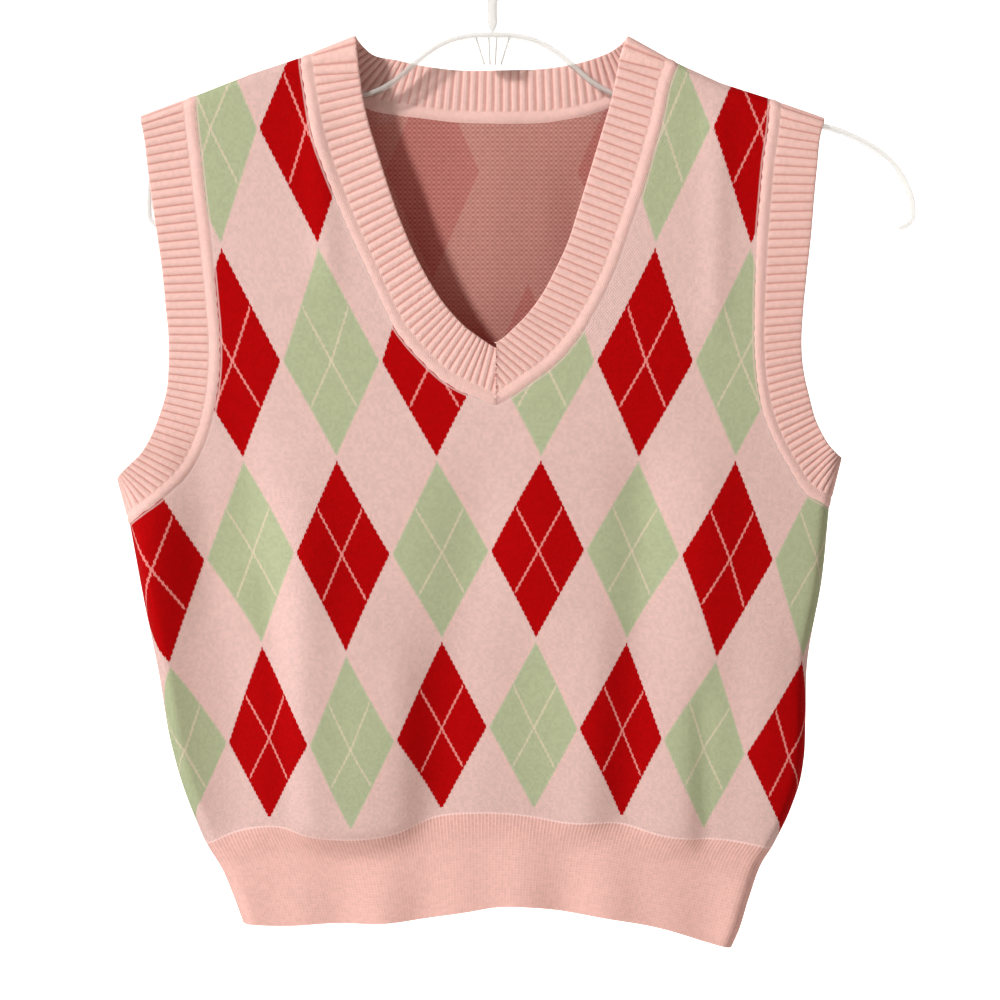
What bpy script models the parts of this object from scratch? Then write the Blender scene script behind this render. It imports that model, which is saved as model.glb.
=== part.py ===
"""Knitted sweater vest hanging on a clear plastic top hanger.

The front faces -Y, +X is to the right as one looks at it, and +Z is up.  The origin is the inner
top of the hanger's hook, where the rail that carries it lies.  Sizes in the tables are millimetres.

The vest is seven knitted pieces: a front, a back, a hem rib for each, a neckband with a mitre at
the point of the V, and an armband round each armhole.  Each is a wall of cloth with its own
thickness, and the pieces lie SEAM_GAP apart where they are linked.  The hanger is moulded in one
with its hook, and stands inside the shoulders.
"""

import bpy
import numpy as np

MM = 0.001

# Cloth
WALL = 2.0  # thickness of the body's double-bed jacquard
SEAM_GAP = 0.3  # between two linked pieces
SHOULDER_RADIUS = 5.0  # height of the fold over the hanger's arm
SIDE_RADIUS = 8.0  # of the fold down each side seam

# Ribbed bands
RIB_PITCH = 4.9  # one wide rib and its narrow groove
RIB_PROFILE = ((0.0, -0.4), (0.22, 0.45), (0.78, 0.45))  # part of the pitch, height over the wall
BAND_WALL = 1.8
BAND_ROWS = (0.02, 0.80, 0.91, 1.0)  # free edge, end of the ribs, crest of the roll, seam
ROLL_HEIGHT = 0.9  # of the plain roll's crest over the wall
MITRE_X = 2.0  # the two ends of the neckband meet on this upright line
LEAST_BAND = 2.0  # width of the neckband's ends at the foot of the mitre
LEAST_RIB = 0.04  # shortest part of a rib that the mitre leaves

# Outline of the hung vest.  Each row is (x, z) unless its comment says otherwise.
SHOULDER_FOLD = (
    (-196, -132),
    (-164, -120),
    (-136, -109),
    (-107, -99.4),
    (-77, -87),
    (-1, -58),
    (75.5, -87.3),
    (103, -102.5),
    (128, -114),
    (156, -123),
    (187, -134),
)
# Side folds: (z, x), from the hem's corner up to the free end of the armband's fold.
LEFT_FOLD = (
    (-586, -140),
    (-570, -146),
    (-556, -152),
    (-541, -161),
    (-527, -167),
    (-511, -173),
    (-486, -180),
    (-446, -187),
    (-402, -196),
    (-365, -203),
    (-336, -211),
)
RIGHT_FOLD = (
    (-600, 134),
    (-591, 138),
    (-572, 144),
    (-551, 152),
    (-543, 157),
    (-537, 160),
    (-528, 164.6),
    (-519, 168.3),
    (-509, 171.8),
    (-494, 174.6),
    (-472, 175.6),
    (-441, 176.5),
    (-392, 185),
    (-352, 189),
    (-324, 196),
)
# Seam between the body and the hem rib, and the hem's lower edge: (x, z).
FRONT_HEM_SEAM = (
    (-161, -541),
    (-141, -533),
    (-118, -530.5),
    (-104, -534.5),
    (-84, -536.5),
    (-54, -533),
    (-34, -525.5),
    (-7, -522.5),
    (18, -524.3),
    (41, -528),
    (69, -528.5),
    (97, -535.5),
    (112, -537),
    (128, -537.5),
    (147, -540.5),
    (157, -543),
)
FRONT_HEM_EDGE = (
    (-140, -586),
    (-121, -587),
    (-92, -585.5),
    (-60, -585),
    (-15, -579),
    (4, -576),
    (49, -580),
    (73, -584),
    (97, -589),
    (122, -597),
    (134, -600),
)
BACK_HEM_SEAM = ((-161, -541), (-108, -534), (-38, -530), (32, -530), (102, -536), (157, -543))
BACK_HEM_EDGE = ((-140, -586), (-98, -584), (-38, -579), (22, -576), (82, -583), (134, -600))

# Armholes, from the shoulder fold down to the underarm: (seam x, seam z, free edge x, free edge z).
LEFT_ARMHOLE = (
    (-168, -121.5, -198.5, -133),
    (-166.4, -139.5, -195.8, -146),
    (-164.3, -156, -194, -161),
    (-162, -177, -191.3, -181),
    (-159.2, -197.5, -188.3, -200.5),
    (-156.9, -218, -185.6, -219.5),
    (-155, -238, -183.7, -238.5),
    (-153.4, -257.5, -181.9, -257),
    (-153.6, -277.5, -181.9, -275),
    (-155.6, -293, -183, -287.5),
    (-159.3, -308.5, -187, -301),
    (-164.8, -322, -191.6, -312.5),
    (-172.3, -334.5, -197, -322),
    (-184.4, -347, -206, -331),
    (-203.8, -362, -211, -336),
)
RIGHT_ARMHOLE = (
    (156.5, -123, 187, -134),
    (155.4, -138.8, 184, -144.3),
    (152.6, -158, 182.3, -160),
    (150.6, -179, 180.5, -178.5),
    (148.8, -200, 178.8, -199),
    (147.9, -220, 176.6, -218.5),
    (147.2, -244, 174.2, -242),
    (147.2, -264, 173.2, -260.5),
    (148.7, -282.8, 174.4, -276),
    (152.1, -300, 177.8, -291),
    (159, -317, 181.8, -304.8),
    (166.9, -331, 188, -316.5),
    (175.4, -344, 193.5, -322.5),
    (189, -352, 196, -324),
)
# Front neck, from each shoulder fold down to the point of the V, where the two seams meet, in the
# same columns.  Near the point the free edges pass the mitre, which cuts the ribs short.
FRONT_NECK_LEFT = (
    (-107, -99.4, -77, -87),
    (-106.8, -105, -75.5, -102),
    (-105, -117, -74.2, -112),
    (-103.1, -129, -73, -121.2),
    (-99.5, -146.5, -69.5, -137),
    (-93.6, -164, -64.9, -152.1),
    (-85.5, -184.3, -58.5, -172.4),
    (-76.5, -204.6, -51.8, -191.3),
    (-67.2, -224.4, -43.9, -209.8),
    (-58.3, -243.9, -34.8, -227),
    (-53.6, -253, -30.2, -234.4),
    (-47.5, -261.2, -25.5, -240.8),
    (-40.2, -269.3, -20.6, -246.4),
    (-32.8, -276.7, -15.2, -251.8),
    (-25.4, -282.8, -9.6, -256.1),
    (-16.7, -287.5, -4.8, -259.4),
    (-8.4, -291, -0.8, -262.1),
    (2, -294.9, 10, -268),
)
FRONT_NECK_RIGHT = (
    (103, -102.5, 75.5, -87.3),
    (101.6, -107, 71.6, -98.8),
    (99, -114, 70.4, -105),
    (94.9, -133.3, 66.3, -124.4),
    (89, -155, 60.4, -144.6),
    (82.8, -176.6, 54.1, -165.5),
    (76, -196, 48, -185.5),
    (69.3, -215.2, 41.9, -204.5),
    (62.7, -230.8, 35.4, -218.8),
    (54.1, -246.7, 27.2, -234.1),
    (49.4, -254.6, 22.3, -241),
    (43.1, -262.9, 17.2, -247),
    (36.8, -269.9, 11.8, -252.3),
    (30.1, -276, 6.1, -257.7),
    (23, -281, 0, -261.5),
    (17.5, -285, -4.5, -263.5),
    (10.5, -290, -9, -266),
    (2, -294.9, -13, -270),
)
# Back neck, from the left shoulder fold to the right one, in the same columns as an armhole's.
BACK_NECK = (
    (-107, -99.4, -77, -87),
    (-92, -114, -68, -95),
    (-71, -125, -54, -98),
    (-47, -129.5, -41, -101),
    (-21, -132.5, -19, -103.7),
    (5, -133.5, 5, -103.7),
    (31, -132.5, 30, -102.7),
    (50, -129.5, 47, -100),
    (72, -122, 63, -95),
    (103, -102.5, 75.5, -87.3),
)
# How far the cloth stands from the vest's middle plane, by height: half the width over which it
# bulges, then its depth at the sides, and in the middle of the front and of the back.
FULLNESS = (
    # z, half width, sides, front middle, back middle
    (-600, 140, 10.0, 14.0, 12.0),
    (-560, 150, 10.0, 14.0, 12.5),
    (-535, 162, 10.5, 14.5, 13.0),
    (-500, 172, 11.5, 18.2, 15.6),
    (-440, 181, 11.0, 20.0, 15.5),
    (-380, 190, 10.0, 20.4, 15.0),
    (-320, 186, 9.5, 18.8, 15.5),
    (-240, 182, 9.5, 15.0, 15.0),
    (-170, 188, 8.5, 11.0, 13.5),
    (-120, 192, 7.5, 8.5, 11.5),
    (-80, 192, 7.0, 8.0, 11.0),
)
MIDDLE_X = -5.0  # where it bulges most
BULGE_POWER = 2.8  # flatter across the middle than a parabola

# The body blouses over the tighter hem rib: (x, how far it stands out).
FRONT_BLOUSE = (
    (-163, 2),
    (-140, 2.5),
    (-118, 1),
    (-104, 1.5),
    (-84, 4.4),
    (-62, 4.8),
    (-46, 3.8),
    (-34, 2.2),
    (-10, 1),
    (22, 3),
    (48, 3),
    (66, 1.5),
    (84, 3),
    (106, 3),
    (124, 0.6),
    (142, 0.8),
    (162, 1.5),
)
BACK_BLOUSE = (
    (-163, 1),
    (-118, 6),
    (-78, 7),
    (-48, 4),
    (-8, 7),
    (42, 6),
    (77, 3),
    (112, 6),
    (162, 1),
)
BLOUSE_CREST = 6.0  # height above the hem seam at which it stands out most
BLOUSE_FOOT = 18.0  # how far below the seam the hem still hangs out with it
BLOUSE_TOP = 115.0  # where it has died away
FOLDS_FOOT = 14.0  # the soft folds die away over this depth of the hem
FOLDS_FROM = 6.0  # and are at their height this far above the seam

# Soft folds: from one end to the other, how wide, and how high (a trough is negative).
FRONT_FOLDS = (
    # x0, z0, x1, z1, width, height
    (-192, -370, -188, -515, 17, 8.5),
    (-164, -335, -160, -400, 12, -2.5),
    (-146, -372, -145, -520, 17, -3.2),
    (-124, -410, -114, -520, 10, -2.5),
    (-106, -390, -104, -520, 18, 5.5),
    (-74, -440, -71, -525, 19, 3.5),
    (-52, -450, -50, -530, 13, 2.5),
    (-12, -372, -38, -528, 19, -3.2),
    (17, -450, 24, -530, 22, -2.5),
    (60, -440, 56, -530, 13, 1.5),
    (81, -345, 74, -530, 14, -2.8),
    (118, -350, 112, -520, 16, 2.2),
    (116, -470, 118, -540, 7, -2),
    (153, -450, 150, -540, 18, 2.5),
    (-141, -330, -127, -400, 16, -3),
    (-100, -140, -92, -215, 8, 1.6),
    (126, -140, 124, -240, 8, 1.6),
)
BACK_FOLDS = (
    (-48, -190, -63, -330, 12, 2.5),
    (47, -180, 60, -320, 12, 2.5),
    (2, -150, -2, -230, 16, -1.5),
    (-98, -380, -106, -525, 10, -2.3),
    (-33, -420, -26, -528, 9, 3.0),
    (67, -410, 72, -525, 10, -3.0),
    (122, -430, 116, -530, 10, 2.5),
    (180, -365, 132, -430, 8, -2.5),
    (-192, -370, -143, -430, 8, -2.5),
)
HEM_WAVES = ((41.0, 1.1, 4.8), (67.0, 1.3, 1.0))  # length, height and phase of each
BACK_WAVE_LAG = 1.3  # the back's waves come later along the hem
WAVES_FULL = 50.0  # how far below the seam they reach their height

# Rows of the panels: parts of the way from the hem seam to the underarm.
BODY_ROWS = (0.0, 0.035, 0.085, 0.15, 0.235, 0.35, 0.49, 0.65, 0.82, 1.0)
FOLD_STEPS = (0.0, 0.134, 0.5)  # parts of a fold's radius, at 0, 30 and 60 degrees round it
ARMHOLE_ROWS = 12
NECK_ROWS = {"front": 10, "back": 6}
COLUMNS = {"front": 13, "back": 8}
HEM_ROWS = 5
BACK_MIDDLE_ROW = 5  # of BACK_NECK, at the nape
LINE_STEPS = 601  # points of the fine lines that the outlines are read from
UNDERARM_MIDDLE_Z = -380.0  # where the row through both underarms crosses the middle
CREST_RAMP = 1.25  # how soon the rows above it come level with the shoulder fold
SLOPE_STEP = 0.05  # for slopes taken by differences
SHARP_EDGE = 50.0  # degrees; softer edges are shaded smooth

# Hanger: an I-section moulded round a flat web.  Top line of each arm, (distance from the hook's
# middle, z): over the arch inside the neck, along under the shoulder, and round the end.
RIGHT_ARM = (
    (0, -84.6),
    (14, -85.5),
    (27, -89.0),
    (38, -95.5),
    (47, -103.0),
    (56, -110.8),
    (67, -117.3),
    (82, -121.2),
    (110, -125.3),
    (150, -130.6),
    (186, -136.0),
    (197, -139.2),
    (206, -143.2),
    (215, -148.0),
    (223.5, -154.5),
    (230.5, -162.5),
    (235.5, -172.0),
    (238.2, -181.0),
    (238.5, -187.0),
)
LEFT_ARM = (
    (0, -84.6),
    (14, -85.5),
    (27, -89.0),
    (38, -95.5),
    (47, -103.0),
    (56, -110.8),
    (67, -117.0),
    (82, -119.6),
    (110, -121.4),
    (140, -123.0),
    (162, -125.4),
    (174, -130.5),
    (183, -139.0),
    (189, -150.0),
    (193, -163.0),
    (195, -177.0),
    (195, -187.0),
)
HANGER_STEPS = 26
HANGER_DEPTH = 20.0
HANGER_WIDTH = 8.0
HANGER_RIM = 2.4  # thickness of the section's top and bottom, and of its closed end
HANGER_WEB = 2.0
HANGER_EASE = 1.0  # chamfer along the top, where the cloth lies
END_ROUND = 8.0  # length over which an arm's end is rounded off
END_STEPS = (0.75, 0.5, 0.25, 0.03)  # parts of that length still to go
HOOK_ROD = 6.0
HOOK_STEPS = 36
# Hook, from its foot on the arch round to its end: (x, z).
HOOK_LINE = (
    (0, -84.2),
    (0, -66),
    (3, -54),
    (11, -43),
    (19, -33),
    (23, -20),
    (20, -8.5),
    (11.5, 0),
    (0, 3),
    (-11.5, 0),
    (-20, -8.5),
    (-23, -20),
    (-21, -31),
)

COLOURS = {
    # node: (red, green, blue in linear light, roughness)
    "front_panel": (0.86, 0.56, 0.53, 0.9),
    "back_panel": (0.80, 0.52, 0.49, 0.9),
    "hem_front": (0.88, 0.51, 0.44, 0.9),
    "hem_back": (0.84, 0.49, 0.42, 0.9),
    "neckband": (0.95, 0.56, 0.50, 0.9),
    "armband_left": (0.95, 0.55, 0.49, 0.9),
    "armband_right": (0.92, 0.53, 0.48, 0.9),
    "hanger_arms": (0.88, 0.90, 0.90, 0.08),
    "hanger_hook": (0.88, 0.90, 0.90, 0.08),
}


def smooth(table, at, key=0, value=1):
    """Cubic through a table's points with level-matched slopes; straight on beyond its ends."""
    points = np.array(table, float)
    points = points[np.argsort(points[:, key])]
    known, heights = points[:, key], points[:, value]
    slopes = np.gradient(heights, known)
    at = np.asarray(at, float)
    index = np.clip(np.searchsorted(known, at) - 1, 0, len(known) - 2)
    span = known[index + 1] - known[index]
    part = np.clip((at - known[index]) / span, 0.0, 1.0)
    start, end = heights[index], heights[index + 1]
    out = (
        start * (2 * part**3 - 3 * part**2 + 1)
        + end * (3 * part**2 - 2 * part**3)
        + span * slopes[index] * (part**3 - 2 * part**2 + part)
        + span * slopes[index + 1] * (part**3 - part**2)
    )
    below = np.minimum(at - known[0], 0.0) * slopes[0]
    above = np.maximum(at - known[-1], 0.0) * slopes[-1]
    return out + below + above


def through(table, count):
    """Smooth line through a table's rows, all columns together, at count even steps of length."""
    rows = np.array(table, float)
    steps = np.hypot(np.diff(rows[:, 0]), np.diff(rows[:, 1]))
    known = np.concatenate(([0.0], np.cumsum(steps)))
    at = np.linspace(0.0, known[-1], count)
    columns = [smooth(np.column_stack((known, rows[:, k])), at) for k in range(rows.shape[1])]
    return np.column_stack(columns)


def straight(table, at, key=0, value=1):
    """Straight from point to point of a table, and straight on beyond its ends."""
    points = np.array(table, float)
    points = points[np.argsort(points[:, key])]
    known, heights = points[:, key], points[:, value]
    slope = np.diff(heights) / np.diff(known)
    below = np.minimum(at - known[0], 0.0) * slope[0]
    above = np.maximum(at - known[-1], 0.0) * slope[-1]
    return np.interp(at, known, heights) + below + above


def shoulder_z(x):
    """Height of the fold over the hanger's arms."""
    return straight(SHOULDER_FOLD, x)


def side_x(z, hand):
    """Where a side folds: a curve up to the underarm, then straight along the armband's fold."""
    table = RIGHT_FOLD if hand > 0 else LEFT_FOLD
    return np.where(z > table[-2][0], straight(table[-2:], z), smooth(table[:-1], z))


def fold(distance, radius):
    """Quarter round: 0 on the fold, 1 from its radius on."""
    part = np.clip(np.asarray(distance) / radius, 0.0, 1.0)
    return np.sqrt(np.maximum(1.0 - (1.0 - part) ** 2, 0.0))


def bell(distance, width):
    return np.exp(-((distance / width) ** 2))


def creases(x, z, table):
    """Sum of soft folds: a bell across each line, dying away past both of its ends."""
    total = np.zeros(np.broadcast(x, z).shape)
    for x0, z0, x1, z1, width, height in table:
        along = np.array((x1 - x0, z1 - z0), float)
        length = np.hypot(*along)
        along /= length
        part = (x - x0) * along[0] + (z - z0) * along[1]
        across = (x - x0) * along[1] - (z - z0) * along[0]
        past = np.maximum(np.maximum(-part, part - length), 0.0)
        total += height * bell(across, width) * bell(past, 2.0 * width)
    return total


def depth(x, z, side):
    """Distance of the cloth from the middle plane: bulge, blouse over the hem, folds and waves."""
    front = side == "front"
    half = smooth(FULLNESS, z, value=1)
    sides = smooth(FULLNESS, z, value=2)
    middle = smooth(FULLNESS, z, value=3 if front else 4)
    across = np.clip(np.abs((x - MIDDLE_X) / half), 0.0, 1.0)
    total = sides + (middle - sides) * (1.0 - across**BULGE_POWER)
    above = z - smooth(FRONT_HEM_SEAM if front else BACK_HEM_SEAM, x)
    under_crest = np.clip((BLOUSE_CREST - above) / (BLOUSE_CREST + BLOUSE_FOOT), 0.0, 1.0)
    past_crest = np.clip((above - BLOUSE_CREST) / (BLOUSE_TOP - BLOUSE_CREST), 0.0, 1.0)
    swell = 0.5 + 0.5 * np.cos(np.pi * np.where(above < BLOUSE_CREST, under_crest, past_crest))
    total = total + swell * smooth(FRONT_BLOUSE if front else BACK_BLOUSE, x)
    fading = np.clip((above + FOLDS_FOOT) / (FOLDS_FOOT + FOLDS_FROM), 0.0, 1.0)
    fading = fading**2 * (3.0 - 2.0 * fading)
    total = total + fading * creases(x, z, FRONT_FOLDS if front else BACK_FOLDS)
    for length, height, phase in HEM_WAVES:
        wave = np.sin(2 * np.pi * x / length + phase + (0.0 if front else BACK_WAVE_LAG))
        total = total + height * wave * np.clip(-above / WAVES_FULL, 0.0, 1.0)
    return total


def folded(x, z):
    """0 on the shoulder fold and the side folds, rising round them to 1 over the rest."""
    over = fold(shoulder_z(x) - z, SHOULDER_RADIUS)
    return over * fold(x - side_x(z, -1), SIDE_RADIUS) * fold(side_x(z, 1) - x, SIDE_RADIUS)


def sheet(x, z, side, gap=SEAM_GAP):
    """y of the middle of a wall of one side, which is half a gap from the other on a fold."""
    y = 0.5 * gap + depth(x, z, side) * folded(x, z)
    return -y if side == "front" else y


def normals(grid, side, gap=SEAM_GAP):
    """Unit normals out of a wall of one side, at points of its middle surface.

    The surface is y squared = depth squared times folded squared, whose slope stays finite on a
    fold, where the surface itself stands upright.
    """
    x, z = grid[..., 0], grid[..., 2]

    def square(x, z):
        return (depth(x, z, side) * folded(x, z)) ** 2

    step = SLOPE_STEP
    slope_x = (square(x + step, z) - square(x - step, z)) / (2 * step)
    slope_z = (square(x, z + step) - square(x, z - step)) / (2 * step)
    y = grid[..., 1] + (0.5 * gap if side == "front" else -0.5 * gap)
    found = np.stack((-slope_x, 2.0 * y, -slope_z), axis=-1)
    return found / np.linalg.norm(found, axis=-1, keepdims=True)


def signed_volume(points, faces):
    """Positive when the faces point outwards."""
    total = 0.0
    for face in faces:
        corners = points[face]
        fan = np.cross(corners[1:-1], corners[2:])
        total += np.sum(fan @ corners[0])
    return total


def finish(name, points, faces):
    """Makes the named object, in metres, with its own material."""
    if signed_volume(points, faces) < 0:
        faces = [face[::-1] for face in faces]
    mesh = bpy.data.meshes.new(name)
    mesh.from_pydata((points * MM).tolist(), [], faces)
    mesh.validate()
    mesh.shade_smooth()
    mesh.set_sharp_from_angle(angle=np.radians(SHARP_EDGE))
    red, green, blue, roughness = COLOURS[name]
    material = bpy.data.materials.new(name)
    material.use_nodes = True
    shader = material.node_tree.nodes["Principled BSDF"]
    shader.inputs["Base Color"].default_value = (red, green, blue, 1.0)
    shader.inputs["Roughness"].default_value = roughness
    shader.inputs["Metallic"].default_value = 0.0
    mesh.materials.append(material)
    made = bpy.data.objects.new(name, mesh)
    bpy.context.scene.collection.objects.link(made)
    return made


def wall_from_sheet(name, middle, normal, quads):
    """Gives a sheet its thickness: an outer and an inner copy, and a wall along every open edge."""
    count = len(middle)
    edges = np.concatenate([quads[:, [k, (k + 1) % 4]] for k in range(4)])
    forward = edges[:, 0] * count + edges[:, 1]
    backward = edges[:, 1] * count + edges[:, 0]
    rim = edges[~np.isin(forward, backward)]
    walls = np.column_stack((rim[:, 1], rim[:, 0], rim[:, 0] + count, rim[:, 1] + count))
    faces = np.concatenate((quads, quads[:, ::-1] + count, walls))
    points = np.concatenate((middle + 0.5 * WALL * normal, middle - 0.5 * WALL * normal))
    return finish(name, points, faces.tolist())


def grid_quads(index):
    """Quads over a grid of point numbers."""
    corners = (index[:-1, :-1], index[:-1, 1:], index[1:, 1:], index[1:, :-1])
    return np.stack(corners, axis=-1).reshape(-1, 4)


def spaced(length, count, start_fold=0.0, end_fold=0.0):
    """Distances along an edge: even rows, and closer ones round a fold at either end."""
    steps = np.array(FOLD_STEPS)
    first = start_fold * steps if start_fold else steps[:0]
    last = length - end_fold * steps[::-1] if end_fold else steps[:0]
    return np.concatenate((first, np.linspace(start_fold, length - end_fold, count), last))


def compact(faces):
    """Numbers of the points that faces use, and the faces numbered by their place among them."""
    used = sorted({k for face in faces for k in face})
    place = {number: k for k, number in enumerate(used)}
    return used, [[place[k] for k in face] for face in faces]


def line_lengths(line):
    """Distance along a line of (x, z) points, from its start."""
    return np.concatenate(([0.0], np.cumsum(np.hypot(np.diff(line[:, 0]), np.diff(line[:, 1])))))


def band_line(piece):
    """Seam and free edge of a band, (seam x, seam z, edge x, edge z), from its low end up."""
    if piece in ("left", "right"):
        table = np.array(RIGHT_ARMHOLE if piece == "right" else LEFT_ARMHOLE, float)[::-1]
    elif piece.startswith("front"):
        half = FRONT_NECK_RIGHT if piece == "front right" else FRONT_NECK_LEFT
        table = np.array(half, float)[::-1]
    else:
        nape = BACK_MIDDLE_ROW
        table = np.array(BACK_NECK[nape:] if piece == "back right" else BACK_NECK[nape::-1], float)
    table[-1, 1] = shoulder_z(table[-1, 0])
    table[-1, 3] = shoulder_z(table[-1, 2])
    return through(table, LINE_STEPS)


def seam_rows(piece):
    """The panels' points along a band's seam, which the band's own seam follows."""
    line = band_line(piece)[:, :2]
    known = line_lengths(line)
    if piece in ("left", "right"):
        at = spaced(known[-1], ARMHOLE_ROWS, SIDE_RADIUS, SHOULDER_RADIUS)
    else:
        at = spaced(known[-1], NECK_ROWS[piece.split()[0]], 0.0, SHOULDER_RADIUS)
    return at, np.column_stack((np.interp(at, known, line[:, 0]), np.interp(at, known, line[:, 1])))


def half_panel(side, hand):
    """Middle surface of half a panel, rows from the hem up, columns from the side to the middle."""
    name = "right" if hand > 0 else "left"
    hem_seam = FRONT_HEM_SEAM if side == "front" else BACK_HEM_SEAM
    outer_up = seam_rows(name)[1]
    neck = seam_rows(side + " " + name)[1]
    slit = len(outer_up) - len(neck)
    rise = np.linspace(0.0, 1.0, slit + 1)[:-1, None]
    inner_up = (MIDDLE_X, UNDERARM_MIDDLE_Z) + rise * (neck[0] - (MIDDLE_X, UNDERARM_MIDDLE_Z))
    inner_up = np.concatenate((inner_up, neck))

    parts = np.array(BODY_ROWS)[:-1, None]
    corner_x, corner_z = hem_seam[-1 if hand > 0 else 0]
    underarm_z = outer_up[0, 1]
    side_z = corner_z + SEAM_GAP + parts * (underarm_z - corner_z - SEAM_GAP)
    outer_low = np.column_stack((side_x(side_z, hand), side_z))
    inner_low = np.column_stack((np.full(len(parts), MIDDLE_X), side_z))

    outer = np.concatenate((outer_low, outer_up))
    inner = np.concatenate((inner_low, inner_up))
    reach = np.abs(inner[:, 0] - outer[:, 0])[:, None]
    from_fold = np.array(FOLD_STEPS)[None, :] * SIDE_RADIUS / reach
    from_edge = SIDE_RADIUS / reach
    even = from_edge + (1.0 - from_edge) * np.linspace(0.0, 1.0, COLUMNS[side] + 1)[None, :]
    across = np.concatenate((from_fold, even), axis=1)
    x = outer[:, :1] + (inner[:, :1] - outer[:, :1]) * across
    z = outer[:, 1:] + (inner[:, 1:] - outer[:, 1:]) * across

    low = len(parts)
    top_z = underarm_z + (UNDERARM_MIDDLE_Z - underarm_z) * across[:low]
    within = np.maximum(x[:low], corner_x) if hand < 0 else np.minimum(x[:low], corner_x)
    seam_z = smooth(hem_seam, within) + SEAM_GAP
    z[:low] = seam_z + parts * (top_z - seam_z)
    to_fold = shoulder_z(x[-1]) - z[-1]
    z[low:] += np.clip(np.linspace(0.0, CREST_RAMP, len(z) - low), 0.0, 1.0)[:, None] * to_fold
    return np.stack((x, sheet(x, z, side), z), axis=-1), low + slit


def panel(side):
    """Front or back: two halves that share the middle line up to the start of the neck."""
    halves = [half_panel(side, hand) for hand in (-1, 1)]
    slit_row = halves[0][1]
    shape = halves[0][0].shape[:2]
    first = np.arange(shape[0] * shape[1]).reshape(shape)
    second = first + first.size
    second[: slit_row + 1, -1] = first[: slit_row + 1, -1]
    quads = np.concatenate((grid_quads(first), grid_quads(second)[:, ::-1]))
    points = np.concatenate([grid.reshape(-1, 3) for grid, _ in halves])
    used, quads = np.unique(quads, return_inverse=True)
    points = points[used]
    return wall_from_sheet(side + "_panel", points, normals(points, side), quads.reshape(-1, 4))


def hem(side):
    """Hem rib of one side: a strip from the body's seam down to its own free edge."""
    seam = FRONT_HEM_SEAM if side == "front" else BACK_HEM_SEAM
    edge = FRONT_HEM_EDGE if side == "front" else BACK_HEM_EDGE
    rows = np.linspace(0.0, 1.0, HEM_ROWS)[:, None]
    left_z = seam[0][1] + rows * (edge[0][1] - seam[0][1])
    right_z = seam[-1][1] + rows * (edge[-1][1] - seam[-1][1])
    left, right = side_x(left_z, -1), side_x(right_z, 1)
    near = SIDE_RADIUS * np.array(FOLD_STEPS)
    even = np.linspace(0.0, 1.0, COLUMNS[side] + 1)[None, :]
    to_middle = left + SIDE_RADIUS + (MIDDLE_X - left - SIDE_RADIUS) * even
    from_middle = MIDDLE_X + (right - SIDE_RADIUS - MIDDLE_X) * even[:, 1:]
    x = np.concatenate((left + near, to_middle, from_middle, right - near[::-1]), axis=1)
    top = smooth(seam, x[0])
    z = top + rows * (smooth(edge, x[-1]) - top)
    z[:, :1], z[:, -1:] = left_z, right_z
    grid = np.stack((x, sheet(x, z, side), z), axis=-1).reshape(-1, 3)
    quads = grid_quads(np.arange(x.size).reshape(x.shape))
    return wall_from_sheet("hem_" + side, grid, normals(grid, side), quads)


def band_surface(stretches):
    """Middle surface of a band and its normals: a dense line along it for each of BAND_ROWS.

    A stretch is (piece, side, upwards).  Near the fold at an end, where the cloth passes from the
    front to the back, its points lie closer together.  Along the seam it keeps to the panel's edge,
    which runs straight from row to row.
    """
    lines, outward = [], []
    for piece, side, upwards in stretches:
        line = band_line(piece)
        known = line_lengths(line[:, :2])
        even = np.linspace(0.0, 1.0, LINE_STEPS)
        both_ends = piece in ("left", "right")
        eased = 0.5 - 0.5 * np.cos(np.pi * even) if both_ends else np.sin(0.5 * np.pi * even)
        at = eased * known[-1]
        rows, points = seam_rows(piece)
        seam = np.column_stack([np.interp(at, rows, points[:, k]) for k in range(2)])
        edge = np.column_stack([np.interp(at, known, line[:, k]) for k in (2, 3)])
        if piece.startswith("front"):
            edge = clip_at_mitre(seam, edge, 1 if piece == "front right" else -1)
        toward = (edge - seam) / np.linalg.norm(edge - seam, axis=1, keepdims=True)
        seam = seam + SEAM_GAP * toward
        panel_y = np.interp(at, rows, sheet(points[:, 0], points[:, 1], side, gap=0.0))
        to_panel = panel_y - sheet(seam[:, 0], seam[:, 1], side, gap=0.0)
        made = []
        for part in BAND_ROWS:
            x, z = (edge + (seam - edge) * part).T
            y = sheet(x, z, side, gap=0.0) + part**4 * to_panel
            y[-1] = 0.0
            if both_ends:
                y[0] = 0.0
            made.append(np.column_stack((x, y, z)))
        order = slice(None) if upwards else slice(None, None, -1)
        made = np.stack(made)[:, order]
        lines.append(made)
        outward.append(normals(made, side, gap=0.0))
    return [
        np.concatenate([found[0]] + [line[:, 1:] for line in found[1:]], axis=1)
        for found in (lines, outward)
    ]


def clip_at_mitre(seam, edge, hand):
    """Shortens the ribs that would cross the mitre, so that they end on it."""
    stop = MITRE_X + hand * 0.5 * SEAM_GAP
    past = (edge[:, 0] - stop) * hand < 0
    reach = (seam[:, 0] - stop) / np.where(past, seam[:, 0] - edge[:, 0], 1.0)
    reach = np.clip(reach, LEAST_RIB, 1.0)[:, None]
    return np.where(past[:, None], seam + (edge - seam) * reach, edge)


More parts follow.
